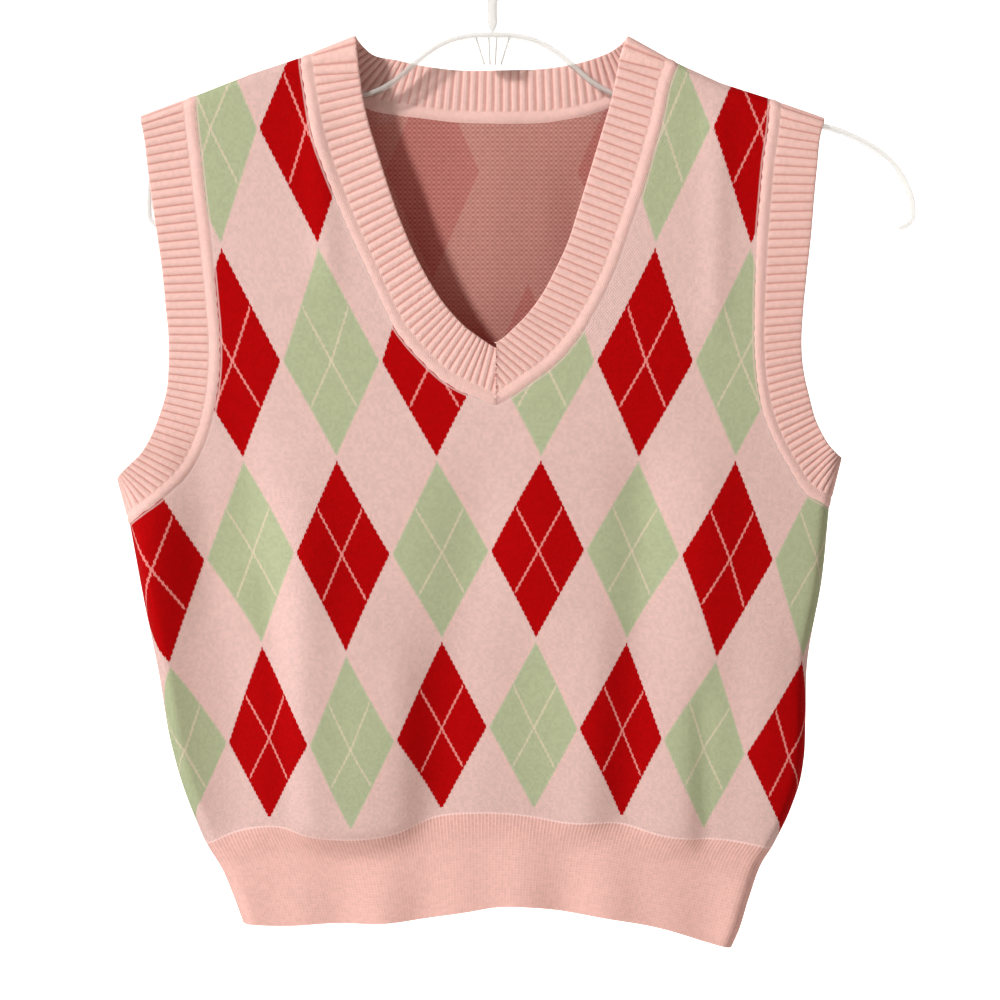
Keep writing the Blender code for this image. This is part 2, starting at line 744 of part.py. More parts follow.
def ribbed_band(name, stretches, closed):
    """A band whose outer face has raised ribs across it, and a plain roll along the seam."""
    dense, outward = band_surface(stretches)
    if not closed:
        wide = np.linalg.norm(dense[0] - dense[-1], axis=1) > LEAST_BAND
        dense, outward = dense[:, wide], outward[:, wide]
    middle = dense[1]
    run = np.concatenate(([0.0], np.cumsum(np.linalg.norm(np.diff(middle, axis=0), axis=1))))
    ribs = int(round(run[-1] / RIB_PITCH))
    parts = np.array([part for part, _ in RIB_PROFILE])
    heights = np.array([height for _, height in RIB_PROFILE])
    at = (np.arange(ribs)[:, None] + parts[None, :]).ravel() / ribs
    at = np.append(at, 1.0) * run[-1]
    grid, normal = [
        np.stack([np.column_stack([np.interp(at, run, line[:, k]) for k in range(3)]) for line in lines])
        for lines in (dense, outward)
    ]
    normal /= np.linalg.norm(normal, axis=-1, keepdims=True)
    raised = np.append(np.tile(heights, ribs), heights[0])
    base = 0.5 * BAND_WALL
    ribbed = grid[:2] + normal[:2] * (base + raised)[None, :, None]
    coarse = slice(0, None, len(RIB_PROFILE))
    roll = grid[2, coarse] + normal[2, coarse] * (base + ROLL_HEIGHT)
    seam = grid[3, coarse] + normal[3, coarse] * base
    back = grid[:, coarse] - normal[:, coarse] * base
    lines = [ribbed[0], ribbed[1], roll, seam, back[3], back[1], back[0]]
    if closed:
        lines = [line[:-1] for line in lines]
    starts = np.concatenate(([0], np.cumsum([len(line) for line in lines])))
    numbers = [np.arange(len(line)) + start for line, start in zip(lines, starts)]
    if closed:
        numbers = [np.append(line, line[0]) for line in numbers]
    faces = []
    fine = len(RIB_PROFILE)
    for k in range(ribs):
        ridge = [range(fine * k, fine * k + fine), range(fine * k + 1, fine * k + fine + 1)]
        for here, there in zip(*ridge):
            faces.append([numbers[0][here], numbers[0][there], numbers[1][there], numbers[1][here]])
        across = list(numbers[1][fine * k : fine * k + fine + 1])
        faces.append(across + [numbers[2][k + 1], numbers[2][k]])
        for low, high in ((2, 3), (3, 4), (4, 5), (5, 6)):
            faces.append([numbers[low][k], numbers[low][k + 1], numbers[high][k + 1], numbers[high][k]])
        across = list(numbers[0][fine * k : fine * k + fine + 1])
        faces.append([numbers[6][k], numbers[6][k + 1]] + across[::-1])
    if not closed:
        faces.append([line[0] for line in numbers])
        faces.append([line[-1] for line in numbers][::-1])
    return finish(name, np.concatenate(lines), [[int(k) for k in face] for face in faces])


def armband(piece):
    """Ring round an armhole: up its front from the underarm, and down its back again."""
    ribbed_band("armband_" + piece, ((piece, "front", True), (piece, "back", False)), closed=True)


def neckband():
    """One strip from the mitre up the left, round the back of the neck and down to the mitre."""
    stretches = (
        ("front left", "front", True),
        ("back left", "back", False),
        ("back right", "back", True),
        ("front right", "front", False),
    )
    ribbed_band("neckband", stretches, closed=False)


def hanger_arms():
    """I-section carried from one end to the other; its rim closes round each rounded end."""
    right, left = [through(table, HANGER_STEPS) for table in (RIGHT_ARM, LEFT_ARM)]
    line = np.concatenate((left[:0:-1] * (-1, 1), right))
    along = np.gradient(line, axis=0)
    along /= np.linalg.norm(along, axis=1, keepdims=True)
    inward = np.column_stack((along[:, 1], -along[:, 0]))
    rim, web = 0.5 * HANGER_WIDTH, 0.5 * HANGER_WEB
    low = HANGER_DEPTH - HANGER_RIM
    half_section = (
        # below the top, y
        (0.0, rim - HANGER_EASE),
        (HANGER_EASE, rim),
        (HANGER_RIM, rim),
        (HANGER_RIM, web),
        (low, web),
        (low, rim),
        (HANGER_DEPTH, rim),
    )
    section = np.array(half_section + tuple((below, -y) for below, y in reversed(half_section)))
    count = len(section)
    pocketed = range(count)
    filled = [k for k in pocketed if abs(section[k, 1]) != web]

    def ring(at, ahead, down, part):
        """Section at a point of the line, with its depth drawn in to a part of itself."""
        below = 0.5 * HANGER_DEPTH + (section[:, 0] - 0.5 * HANGER_DEPTH) * part
        placed = at + ahead + below[:, None] * down
        return np.column_stack((placed[:, 0], section[:, 1], placed[:, 1]))

    rings = [ring(at, 0.0, down, 1.0) for at, down in zip(line, inward)]
    loops = [pocketed] * (len(line) - 1)
    for to_go in END_STEPS:
        part = np.sqrt(1.0 - (1.0 - to_go) ** 2)
        past = (1.0 - to_go) * END_ROUND
        rings.append(ring(line[-1], along[-1] * past, inward[-1], part))
        rings.insert(0, ring(line[0], -along[0] * past, inward[0], part))
        loops = [filled] + loops + [filled]
    faces = []
    for step, loop in enumerate(loops):
        for here, there in zip(loop, list(loop[1:]) + [loop[0]]):
            start = step * count
            faces.append([start + here, start + there, start + there + count, start + here + count])
    for step, flip in ((len(END_STEPS), -1), (len(rings) - 1 - len(END_STEPS), 1)):
        for pocket in ((2, 3, 4, 5), (8, 9, 10, 11)):
            faces.append([step * count + k for k in pocket][::flip])
    faces.append(filled[::-1])
    faces.append([(len(rings) - 1) * count + k for k in filled])
    points = np.concatenate(rings)
    used, faces = compact(faces)
    return finish("hanger_arms", points[used], faces)


def hanger_hook():
    """Round moulded rod, bent from the foot on the arch to its open end."""
    line = through(HOOK_LINE, HOOK_STEPS)
    curve = bpy.data.curves.new("hanger_hook_line", "CURVE")
    curve.dimensions = "3D"
    curve.bevel_depth = 0.5 * HOOK_ROD * MM
    curve.bevel_resolution = 2
    curve.use_fill_caps = True
    spline = curve.splines.new("POLY")
    spline.points.add(len(line) - 1)
    for point, (x, z) in zip(spline.points, line):
        point.co = (x * MM, 0.0, z * MM, 1.0)
    guide = bpy.data.objects.new("hanger_hook_line", curve)
    mesh = bpy.data.meshes.new_from_object(guide)
    points = np.array([vertex.co for vertex in mesh.vertices]) / MM
    faces = [list(face.vertices) for face in mesh.polygons]
    bpy.data.objects.remove(guide)
    bpy.data.meshes.remove(mesh)
    return finish("hanger_hook", points, faces)


for stale in list(bpy.data.objects):
    bpy.data.objects.remove(stale)

panel("front")
panel("back")
hem("front")
hem("back")
armband("left")
armband("right")
neckband()
hanger_arms()
hanger_hook()
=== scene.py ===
"""Looks of a knitted argyle sweater vest on a clear moulded hanger.

The front faces -Y, +X is to the right as one looks at it, and +Z is up.  Lengths in the tables are
millimetres from the inner top of the hanger's hook, and meshes are written in metres.  All seven
knitted pieces lie on one surface, a depth before or behind the middle plane that follows from x and
z, so that they meet along their seams.
"""

import bpy
import numpy as np
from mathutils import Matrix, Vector


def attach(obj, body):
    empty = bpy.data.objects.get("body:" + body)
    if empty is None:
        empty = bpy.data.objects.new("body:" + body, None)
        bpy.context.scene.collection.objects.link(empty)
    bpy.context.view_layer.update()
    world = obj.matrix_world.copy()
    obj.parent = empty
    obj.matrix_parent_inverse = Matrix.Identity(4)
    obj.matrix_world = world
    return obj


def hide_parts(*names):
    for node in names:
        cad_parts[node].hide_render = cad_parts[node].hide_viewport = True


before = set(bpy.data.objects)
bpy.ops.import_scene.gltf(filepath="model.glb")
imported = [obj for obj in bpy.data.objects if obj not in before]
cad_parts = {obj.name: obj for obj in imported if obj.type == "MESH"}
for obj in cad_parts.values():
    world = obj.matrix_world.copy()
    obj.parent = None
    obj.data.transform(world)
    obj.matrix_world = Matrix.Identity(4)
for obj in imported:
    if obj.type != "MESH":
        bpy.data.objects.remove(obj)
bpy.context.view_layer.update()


# ---------------------------------------------------------------------------------------------
# Body.  A front and a back of fine-gauge cotton jacquard, knitted on two needle beds: the argyle
# on the outside, a birdseye of all the yarns on the inside.  The panels are linked at the
# shoulders and down the sides, and hang in soft folds that blouse over the tighter hem rib.
# ---------------------------------------------------------------------------------------------

MM = 0.001
BODY_WALL = 2.0  # thickness of the double-bed cloth
SIDE_GAP = 0.1  # between front and back on a fold
SHOULDER_RADIUS = 5.0  # height of the fold over the hanger's arms
SIDE_RADIUS = 8.0  # of the fold down each side

# Fold over the shoulders: (x, z).
SHOULDER_FOLD = (
    (-196, -132), (-164, -120), (-136, -109), (-107, -99.4), (-77, -87), (-1, -58), (75.5, -87.3),
    (103, -102.5), (128, -114), (156, -123), (187, -134),
)
# Side folds: (z, x), from the hem's corner up to the free end of the armband's fold.
LEFT_FOLD = (
    (-586, -140), (-570, -146), (-556, -152), (-541, -161), (-527, -167), (-511, -173), (-486, -180),
    (-446, -187), (-402, -196), (-365, -203), (-336, -211),
)
RIGHT_FOLD = (
    (-600, 134), (-591, 138), (-572, 144), (-551, 152), (-543, 157), (-537, 160), (-528, 164.6),
    (-519, 168.3), (-509, 171.8), (-494, 174.6), (-472, 175.6), (-441, 176.5), (-392, 185), (-352, 189),
    (-324, 196),
)
# Seam between body and hem rib, and the hem's lower edge: (x, z).
FRONT_HEM_SEAM = (
    (-161, -541), (-141, -533), (-118, -530.5), (-104, -534.5), (-84, -536.5), (-54, -533),
    (-34, -525.5), (-7, -522.5), (18, -524.3), (41, -528), (69, -528.5), (97, -535.5), (112, -537),
    (128, -537.5), (147, -540.5), (157, -543),
)
FRONT_HEM_EDGE = (
    (-140, -586), (-121, -587), (-92, -585.5), (-60, -585), (-15, -579), (4, -576), (49, -580),
    (73, -584), (97, -589), (122, -597), (134, -600),
)
BACK_HEM_SEAM = ((-161, -541), (-108, -534), (-38, -530), (32, -530), (102, -536), (157, -543))
BACK_HEM_EDGE = ((-140, -586), (-98, -584), (-38, -579), (22, -576), (82, -583), (134, -600))

# Armholes, from the shoulder fold down to the underarm: (seam x, seam z, free edge x, free edge z).
LEFT_ARMHOLE = (
    (-168, -121.5, -198.5, -133), (-166.4, -139.5, -195.8, -146), (-164.3, -156, -194, -161),
    (-162, -177, -191.3, -181), (-159.2, -197.5, -188.3, -200.5), (-156.9, -218, -185.6, -219.5),
    (-155, -238, -183.7, -238.5), (-153.4, -257.5, -181.9, -257), (-153.6, -277.5, -181.9, -275),
    (-155.6, -293, -183, -287.5), (-159.3, -308.5, -187, -301), (-164.8, -322, -191.6, -312.5),
    (-172.3, -334.5, -197, -322), (-184.4, -347, -206, -331), (-203.8, -362, -211, -336),
)
RIGHT_ARMHOLE = (
    (156.5, -123, 187, -134), (155.4, -138.8, 184, -144.3), (152.6, -158, 182.3, -160),
    (150.6, -179, 180.5, -178.5), (148.8, -200, 178.8, -199), (147.9, -220, 176.6, -218.5),
    (147.2, -244, 174.2, -242), (147.2, -264, 173.2, -260.5), (148.7, -282.8, 174.4, -276),
    (152.1, -300, 177.8, -291), (159, -317, 181.8, -304.8), (166.9, -331, 188, -316.5),
    (175.4, -344, 193.5, -322.5), (189, -352, 196, -324),
)
# Front neck, from each shoulder fold down to the point of the V, where the two seams meet, in the
# same columns.  Near the point the free edges pass the mitre, which cuts the ribs short.
FRONT_NECK_LEFT = (
    (-107, -99.4, -77, -87), (-106.8, -105, -75.5, -102), (-105, -117, -74.2, -112),
    (-103.1, -129, -73, -121.2), (-99.5, -146.5, -69.5, -137), (-93.6, -164, -64.9, -152.1),
    (-85.5, -184.3, -58.5, -172.4), (-76.5, -204.6, -51.8, -191.3), (-67.2, -224.4, -43.9, -209.8),
    (-58.3, -243.9, -34.8, -227), (-53.6, -253, -30.2, -234.4), (-47.5, -261.2, -25.5, -240.8),
    (-40.2, -269.3, -20.6, -246.4), (-32.8, -276.7, -15.2, -251.8), (-25.4, -282.8, -9.6, -256.1),
    (-16.7, -287.5, -4.8, -259.4), (-8.4, -291, -0.8, -262.1), (2, -294.9, 10, -268),
)
FRONT_NECK_RIGHT = (
    (103, -102.5, 75.5, -87.3), (101.6, -107, 71.6, -98.8), (99, -114, 70.4, -105),
    (94.9, -133.3, 66.3, -124.4), (89, -155, 60.4, -144.6), (82.8, -176.6, 54.1, -165.5),
    (76, -196, 48, -185.5), (69.3, -215.2, 41.9, -204.5), (62.7, -230.8, 35.4, -218.8),
    (54.1, -246.7, 27.2, -234.1), (49.4, -254.6, 22.3, -241), (43.1, -262.9, 17.2, -247),
    (36.8, -269.9, 11.8, -252.3), (30.1, -276, 6.1, -257.7), (23, -281, 0, -261.5),
    (17.5, -285, -4.5, -263.5), (10.5, -290, -9, -266), (2, -294.9, -13, -270),
)
# Back neck, from the left shoulder fold to the right one, in the same columns as an armhole's.
BACK_NECK = (
    (-107, -99.4, -77, -87), (-92, -114, -68, -95), (-71, -125, -54, -98), (-47, -129.5, -41, -101),
    (-21, -132.5, -19, -103.7), (5, -133.5, 5, -103.7), (31, -132.5, 30, -102.7),
    (50, -129.5, 47, -100), (72, -122, 63, -95), (103, -102.5, 75.5, -87.3),
)
NAPE = 5  # row of BACK_NECK at the middle of the neck

# Distance of the cloth from the middle plane: half the width over which it bulges, then its depth
# at the sides, and in the middle of the front and of the back.
FULLNESS = (
    # z, half width, sides, front middle, back middle
    (-600, 140, 10.0, 14.0, 12.0),
    (-560, 150, 10.0, 14.0, 12.5),
    (-535, 162, 10.5, 14.5, 13.0),
    (-500, 172, 11.5, 18.2, 15.6),
    (-440, 181, 11.0, 20.0, 15.5),
    (-380, 190, 10.0, 20.4, 15.0),
    (-320, 186, 9.5, 18.8, 15.5),
    (-240, 182, 9.5, 15.0, 15.0),
    (-170, 188, 8.5, 11.0, 13.5),
    (-120, 192, 7.5, 8.5, 11.5),
    (-80, 192, 7.0, 8.0, 11.0),
)
MIDDLE_X = -5.0
BULGE_POWER = 2.8

# The blouse over the hem rib: (x, how far it stands out).  The front's heights, and the rows of its
# soft folds that end below z -300, come from a least-squares fit.  They are rounded, and the folds
# are then made higher.
FRONT_BLOUSE = (
    (-163, 2), (-140, 2.5), (-118, 1), (-104, 1.5), (-84, 4.4), (-62, 4.8), (-46, 3.8), (-34, 2.2),
    (-10, 1), (22, 3), (48, 3), (66, 1.5), (84, 3), (106, 3), (124, 0.6), (142, 0.8), (162, 1.5),
)
BACK_BLOUSE = (
    (-163, 1), (-118, 6), (-78, 7), (-48, 4), (-8, 7), (42, 6), (77, 3), (112, 6), (162, 1),
)
BLOUSE_CREST = 6.0  # height above the hem seam at which it stands out most
BLOUSE_FOOT = 18.0  # how far below the seam the hem still hangs out with it
BLOUSE_TOP = 115.0  # where it has died away
FOLDS_FOOT = 14.0  # the soft folds die away over this depth of the hem
FOLDS_FROM = 6.0  # and are at their height this far above the seam

# Soft folds, one a row: x and z of both ends, how wide, and how high (a trough is negative).
FRONT_FOLDS = (
    (-192, -370, -188, -515, 17, 11.5),
    (-164, -335, -160, -400, 12, -3.8),
    (-146, -372, -145, -520, 17, -5.0),
    (-124, -410, -114, -520, 10, -3.8),
    (-106, -390, -104, -520, 18, 8.3),
    (-74, -440, -71, -525, 19, 5.5),
    (-52, -450, -50, -530, 13, 4.0),
    (-12, -372, -38, -528, 19, -4.8),
    (17, -450, 24, -530, 22, -3.8),
    (60, -440, 56, -530, 13, 2.5),
    (81, -345, 74, -530, 14, -4.4),
    (118, -350, 112, -520, 16, 3.6),
    (116, -470, 118, -540, 7, -3.2),
    (153, -450, 150, -540, 18, 3.8),
    (-141, -330, -127, -400, 16, -4.5),
    (-100, -140, -92, -215, 8, 2.2),
    (126, -140, 124, -240, 8, 2.2),
)
BACK_FOLDS = (
    (-48, -190, -63, -330, 12, 2.5),
    (47, -180, 60, -320, 12, 2.5),
    (2, -150, -2, -230, 16, -1.5),
    (-98, -380, -106, -525, 10, -2.3),
    (-33, -420, -26, -528, 9, 3.0),
    (67, -410, 72, -525, 10, -3.0),
    (122, -430, 116, -530, 10, 2.5),
    (180, -365, 132, -430, 8, -2.5),
    (-192, -370, -143, -430, 8, -2.5),
)
HEM_WAVES = ((41.0, 1.1, 4.8), (67.0, 1.3, 1.0))  # length, height and phase of each
BACK_WAVE_LAG = 1.3
WAVES_FULL = 50.0  # how far below the seam they reach their height

LINE_STEPS = 901  # points of the fine lines that outlines are read from
UNDERARM_MIDDLE_Z = -380.0  # where the row through both underarms crosses the middle
BODY_ROWS = 70  # from the hem seam up to the underarms
ARMHOLE_ROWS = 88  # from an underarm up to the shoulder
NECK_ROWS = {"front": 66, "back": 40}
COLUMNS = 68  # from a side fold to the middle
FOLD_STEPS = (0.0, 0.05, 0.134, 0.25, 0.4, 0.6, 0.8)  # parts of a fold's radius
CREST_RAMP = 1.25  # how soon the rows above the underarms come level with the shoulder fold
SLOPE_STEP = 0.05  # each way from a point whose normal is found
SHARP_EDGE = 50.0  # degrees; softer edges are shaded smooth


def table_columns(table, value):
    """A table's first column in rising order, and another column beside it."""
    points = np.array(table, float)
    points = points[np.argsort(points[:, 0])]
    return points[:, 0], points[:, value]


def straight_on(at, known, slopes):
    """What a line gains past its ends when it goes on at its first and last slope."""
    return np.minimum(at - known[0], 0.0) * slopes[0] + np.maximum(at - known[-1], 0.0) * slopes[-1]


def smooth(table, at, value=1):
    """Cubic through a table's points, with the slope of their neighbours at each of them."""
    known, heights = table_columns(table, value)
    slopes = np.gradient(heights, known)
    at = np.asarray(at, float)
    index = np.clip(np.searchsorted(known, at) - 1, 0, len(known) - 2)
    span = known[index + 1] - known[index]
    part = np.clip((at - known[index]) / span, 0.0, 1.0)
    out = (
        heights[index] * (2 * part**3 - 3 * part**2 + 1)
        + heights[index + 1] * (3 * part**2 - 2 * part**3)
        + span * slopes[index] * (part**3 - 2 * part**2 + part)
        + span * slopes[index + 1] * (part**3 - part**2)
    )
    return out + straight_on(at, known, slopes)


def straight(table, at):
    """Straight from point to point of a table."""
    known, heights = table_columns(table, 1)
    return np.interp(at, known, heights) + straight_on(at, known, np.diff(heights) / np.diff(known))


def through(table, count):
    """Smooth line through a table's rows, all columns together, at count even steps of length."""
    rows = np.array(table, float)
    known = line_lengths(rows)
    at = np.linspace(0.0, known[-1], count)
    measured = np.column_stack((known, rows))
    return np.column_stack([smooth(measured, at, value) for value in range(1, measured.shape[1])])


def running(steps):
    """Running total of steps, from 0."""
    return np.concatenate(([0.0], np.cumsum(steps)))


def line_lengths(line):
    """Distance along a line of (x, z) points, from its start."""
    return running(np.hypot(np.diff(line[:, 0]), np.diff(line[:, 1])))


def read_line(at, known, line):
    """Rows of a line at new distances along it, straight between its known ones."""
    return np.column_stack([np.interp(at, known, column) for column in line.T])


def unit(vectors):
    """The same directions at length 1."""
    return vectors / np.linalg.norm(vectors, axis=-1, keepdims=True)


def shoulder_z(x):
    """Height of the fold over the hanger's arms."""
    return straight(SHOULDER_FOLD, x)


def side_x(z, hand):
    """Where a side folds: a curve up to the underarm, then straight along the armband's fold."""
    table = RIGHT_FOLD if hand > 0 else LEFT_FOLD
    return np.where(z > table[-2][0], straight(table[-2:], z), smooth(table[:-1], z))


def fold(distance, radius):
    """Quarter round: 0 on the fold, 1 from its radius on."""
    part = np.clip(np.asarray(distance) / radius, 0.0, 1.0)
    return np.sqrt(np.maximum(1.0 - (1.0 - part) ** 2, 0.0))


def bell(distance, width):
    """exp(-(distance / width)^2)."""
    return np.exp(-((distance / width) ** 2))


def creases(x, z, table):
    """Sum of soft folds: a bell across each line, dying away past both of its ends."""
    total = np.zeros(np.broadcast(x, z).shape)
    for x0, z0, x1, z1, width, height in table:
        along = np.array((x1 - x0, z1 - z0), float)
        length = np.hypot(*along)
        along /= length
        part = (x - x0) * along[0] + (z - z0) * along[1]
        across = (x - x0) * along[1] - (z - z0) * along[0]
        past = np.maximum(np.maximum(-part, part - length), 0.0)
        total += height * bell(across, width) * bell(past, 2.0 * width)
    return total


def depth(x, z, side):
    """Distance of the cloth from the middle plane: bulge, blouse over the hem, folds and waves."""
    front = side == "front"
    half = smooth(FULLNESS, z, value=1)
    sides = smooth(FULLNESS, z, value=2)
    middle = smooth(FULLNESS, z, value=3 if front else 4)
    across = np.clip(np.abs((x - MIDDLE_X) / half), 0.0, 1.0)
    total = sides + (middle - sides) * (1.0 - across**BULGE_POWER)
    above = z - smooth(FRONT_HEM_SEAM if front else BACK_HEM_SEAM, x)
    under_crest = np.clip((BLOUSE_CREST - above) / (BLOUSE_CREST + BLOUSE_FOOT), 0.0, 1.0)
    past_crest = np.clip((above - BLOUSE_CREST) / (BLOUSE_TOP - BLOUSE_CREST), 0.0, 1.0)
    swell = 0.5 + 0.5 * np.cos(np.pi * np.where(above < BLOUSE_CREST, under_crest, past_crest))
    total = total + swell * smooth(FRONT_BLOUSE if front else BACK_BLOUSE, x)
    fading = np.clip((above + FOLDS_FOOT) / (FOLDS_FOOT + FOLDS_FROM), 0.0, 1.0)
    fading = fading**2 * (3.0 - 2.0 * fading)
    total = total + fading * creases(x, z, FRONT_FOLDS if front else BACK_FOLDS)
    for length, height, phase in HEM_WAVES:
        wave = np.sin(2 * np.pi * x / length + phase + (0.0 if front else BACK_WAVE_LAG))
        total = total + height * wave * np.clip(-above / WAVES_FULL, 0.0, 1.0)
    return total


def folded(x, z):
    """0 on the shoulder fold and the side folds, rising round them to 1 over the rest."""
    over = fold(shoulder_z(x) - z, SHOULDER_RADIUS)
    return over * fold(x - side_x(z, -1), SIDE_RADIUS) * fold(side_x(z, 1) - x, SIDE_RADIUS)


def sheet(x, z, side, gap=SIDE_GAP):
    """y of the middle of a wall of one side, which is half a gap from the other on a fold."""
    y = 0.5 * gap + depth(x, z, side) * folded(x, z)
    return -y if side == "front" else y


def normals(grid, side, gap=SIDE_GAP):
    """Unit normals out of a wall, from the slope of depth squared times folded squared."""
    x, z = grid[..., 0], grid[..., 2]

    def square(x, z):
        """Depth squared times folded squared."""
        return (depth(x, z, side) * folded(x, z)) ** 2

    step = SLOPE_STEP
    slope_x = (square(x + step, z) - square(x - step, z)) / (2 * step)
    slope_z = (square(x, z + step) - square(x, z - step)) / (2 * step)
    y = grid[..., 1] + (0.5 * gap if side == "front" else -0.5 * gap)
    return unit(np.stack((-slope_x, 2.0 * y, -slope_z), axis=-1))


def spaced(length, count, start_fold=0.0, end_fold=0.0):
    """Distances along an edge: even rows, and closer ones round a fold at either end."""
    steps = np.array(FOLD_STEPS)
    first = start_fold * steps if start_fold else steps[:0]
    last = length - end_fold * steps[::-1] if end_fold else steps[:0]
    return np.concatenate((first, np.linspace(start_fold, length - end_fold, count), last))


def band_line(piece):
    """Seam and free edge of a band, (seam x, seam z, edge x, edge z), from its low end up."""
    if piece in ("left", "right"):
        table = np.array(RIGHT_ARMHOLE if piece == "right" else LEFT_ARMHOLE, float)[::-1]
    elif piece.startswith("front"):
        half = FRONT_NECK_RIGHT if piece == "front right" else FRONT_NECK_LEFT
        table = np.array(half, float)[::-1]
    else:
        table = np.array(BACK_NECK[NAPE:] if piece == "back right" else BACK_NECK[NAPE::-1], float)
    table[-1, 1] = shoulder_z(table[-1, 0])
    table[-1, 3] = shoulder_z(table[-1, 2])
    return through(table, LINE_STEPS)


def seam_rows(piece):
    """The panels' points along a band's seam."""
    line = band_line(piece)[:, :2]
    known = line_lengths(line)
    if piece in ("left", "right"):
        at = spaced(known[-1], ARMHOLE_ROWS, SIDE_RADIUS, SHOULDER_RADIUS)
    else:
        at = spaced(known[-1], NECK_ROWS[piece.split()[0]], 0.0, SHOULDER_RADIUS)
    return read_line(at, known, line)


def half_panel(side, hand):
    """Middle surface of half a panel, rows from the hem up, columns from the side to the middle."""
    name = "right" if hand > 0 else "left"
    hem_seam = FRONT_HEM_SEAM if side == "front" else BACK_HEM_SEAM
    outer_up = seam_rows(name)
    neck = seam_rows(side + " " + name)
    slit = len(outer_up) - len(neck)
    rise = np.linspace(0.0, 1.0, slit + 1)[:-1, None]
    inner_up = (MIDDLE_X, UNDERARM_MIDDLE_Z) + rise * (neck[0] - (MIDDLE_X, UNDERARM_MIDDLE_Z))
    inner_up = np.concatenate((inner_up, neck))

    parts = np.linspace(0.0, 1.0, BODY_ROWS + 1)[:-1, None]
    corner_x, corner_z = hem_seam[-1 if hand > 0 else 0]
    underarm_z = outer_up[0, 1]
    side_z = corner_z + parts * (underarm_z - corner_z)
    outer_low = np.column_stack((side_x(side_z, hand), side_z))
    inner_low = np.column_stack((np.full(len(parts), MIDDLE_X), side_z))

    outer = np.concatenate((outer_low, outer_up))
    inner = np.concatenate((inner_low, inner_up))
    reach = np.abs(inner[:, 0] - outer[:, 0])[:, None]
    from_fold = np.array(FOLD_STEPS)[None, :] * SIDE_RADIUS / reach
    from_edge = SIDE_RADIUS / reach
    even = from_edge + (1.0 - from_edge) * np.linspace(0.0, 1.0, COLUMNS + 1)[None, :]
    across = np.concatenate((from_fold, even), axis=1)
    x = outer[:, :1] + (inner[:, :1] - outer[:, :1]) * across
    z = outer[:, 1:] + (inner[:, 1:] - outer[:, 1:]) * across

    low = len(parts)
    top_z = underarm_z + (UNDERARM_MIDDLE_Z - underarm_z) * across[:low]
    within = np.maximum(x[:low], corner_x) if hand < 0 else np.minimum(x[:low], corner_x)
    seam_z = smooth(hem_seam, within)
    z[:low] = seam_z + parts * (top_z - seam_z)
    to_fold = shoulder_z(x[-1]) - z[-1]
    z[low:] += np.clip(np.linspace(0.0, CREST_RAMP, len(z) - low), 0.0, 1.0)[:, None] * to_fold
    return np.stack((x, sheet(x, z, side), z), axis=-1), low + slit


def numbered(grid):
    """Numbers of the points in a grid of rows and columns."""
    return np.arange(grid.shape[0] * grid.shape[1]).reshape(grid.shape[:2])


def grid_quads(index):
    """Quads over a grid of point numbers."""
    corners = (index[:-1, :-1], index[:-1, 1:], index[1:, 1:], index[1:, :-1])
    return np.stack(corners, axis=-1).reshape(-1, 4)


def shape(name, points, quads, uv=None, attributes=(), second_from=None, polygons=()):
    """Makes a piece in metres from points in millimetres, with its faces turned outwards.

    uv is one pair for each point, kept as the map "stitches", and attributes are one value for
    each point.  Quads from second_from on get the second material.
    """
    corners = points[quads]
    fans = np.cross(corners[:, 1] - corners[:, 0], corners[:, 2] - corners[:, 0])
    fans += np.cross(corners[:, 2] - corners[:, 0], corners[:, 3] - corners[:, 0])
    if np.sum(fans * corners.mean(axis=1)) < 0:
        quads = quads[:, ::-1]
        polygons = [face[::-1] for face in polygons]
    mesh = bpy.data.meshes.new(name)
    mesh.from_pydata((points * MM).tolist(), [], quads.tolist() + [list(face) for face in polygons])
    loops = np.empty(len(mesh.loops), np.int32)
    mesh.loops.foreach_get("vertex_index", loops)
    if uv is not None:
        layer = mesh.uv_layers.new(name="stitches")
        layer.data.foreach_set("uv", uv[loops].astype(np.float32).ravel())
    for key, values in dict(attributes).items():
        made = mesh.attributes.new(key, "FLOAT", "POINT")
        made.data.foreach_set("value", values.astype(np.float32))
    slots = np.zeros(len(mesh.polygons), np.int32)
    if second_from is not None:
        slots[second_from : len(quads)] = 1
    mesh.polygons.foreach_set("material_index", slots)
    mesh.shade_smooth()
    mesh.set_sharp_from_angle(angle=np.radians(SHARP_EDGE))
    mesh.update()
    made = bpy.data.objects.new(name, mesh)
    bpy.context.scene.collection.objects.link(made)
    return made


def cloth_wall(name, middle, normal, quads, wall, uv, attributes=()):
    """Gives a sheet its thickness: an outer copy, a rim along every open edge, an inner copy."""
    count = len(middle)
    edges = np.concatenate([quads[:, [k, (k + 1) % 4]] for k in range(4)])
    forward = edges[:, 0] * count + edges[:, 1]
    backward = edges[:, 1] * count + edges[:, 0]
    rim = edges[~np.isin(forward, backward)]
    rims = np.column_stack((rim[:, 1], rim[:, 0], rim[:, 0] + count, rim[:, 1] + count))
    faces = np.concatenate((quads, rims, quads[:, ::-1] + count))
    points = np.concatenate((middle + 0.5 * wall * normal, middle - 0.5 * wall * normal))
    doubled = {key: np.tile(values, 2) for key, values in dict(attributes).items()}
    return shape(name, points, faces, np.tile(uv, (2, 1)), doubled, len(quads) + len(rims))


# The argyle's repeat: a red and a green column in turn, each diamond one row of the repeat high.
WALES = 36  # stitches across one column of diamonds
COURSES = 72  # rows of stitches in one row of diamonds
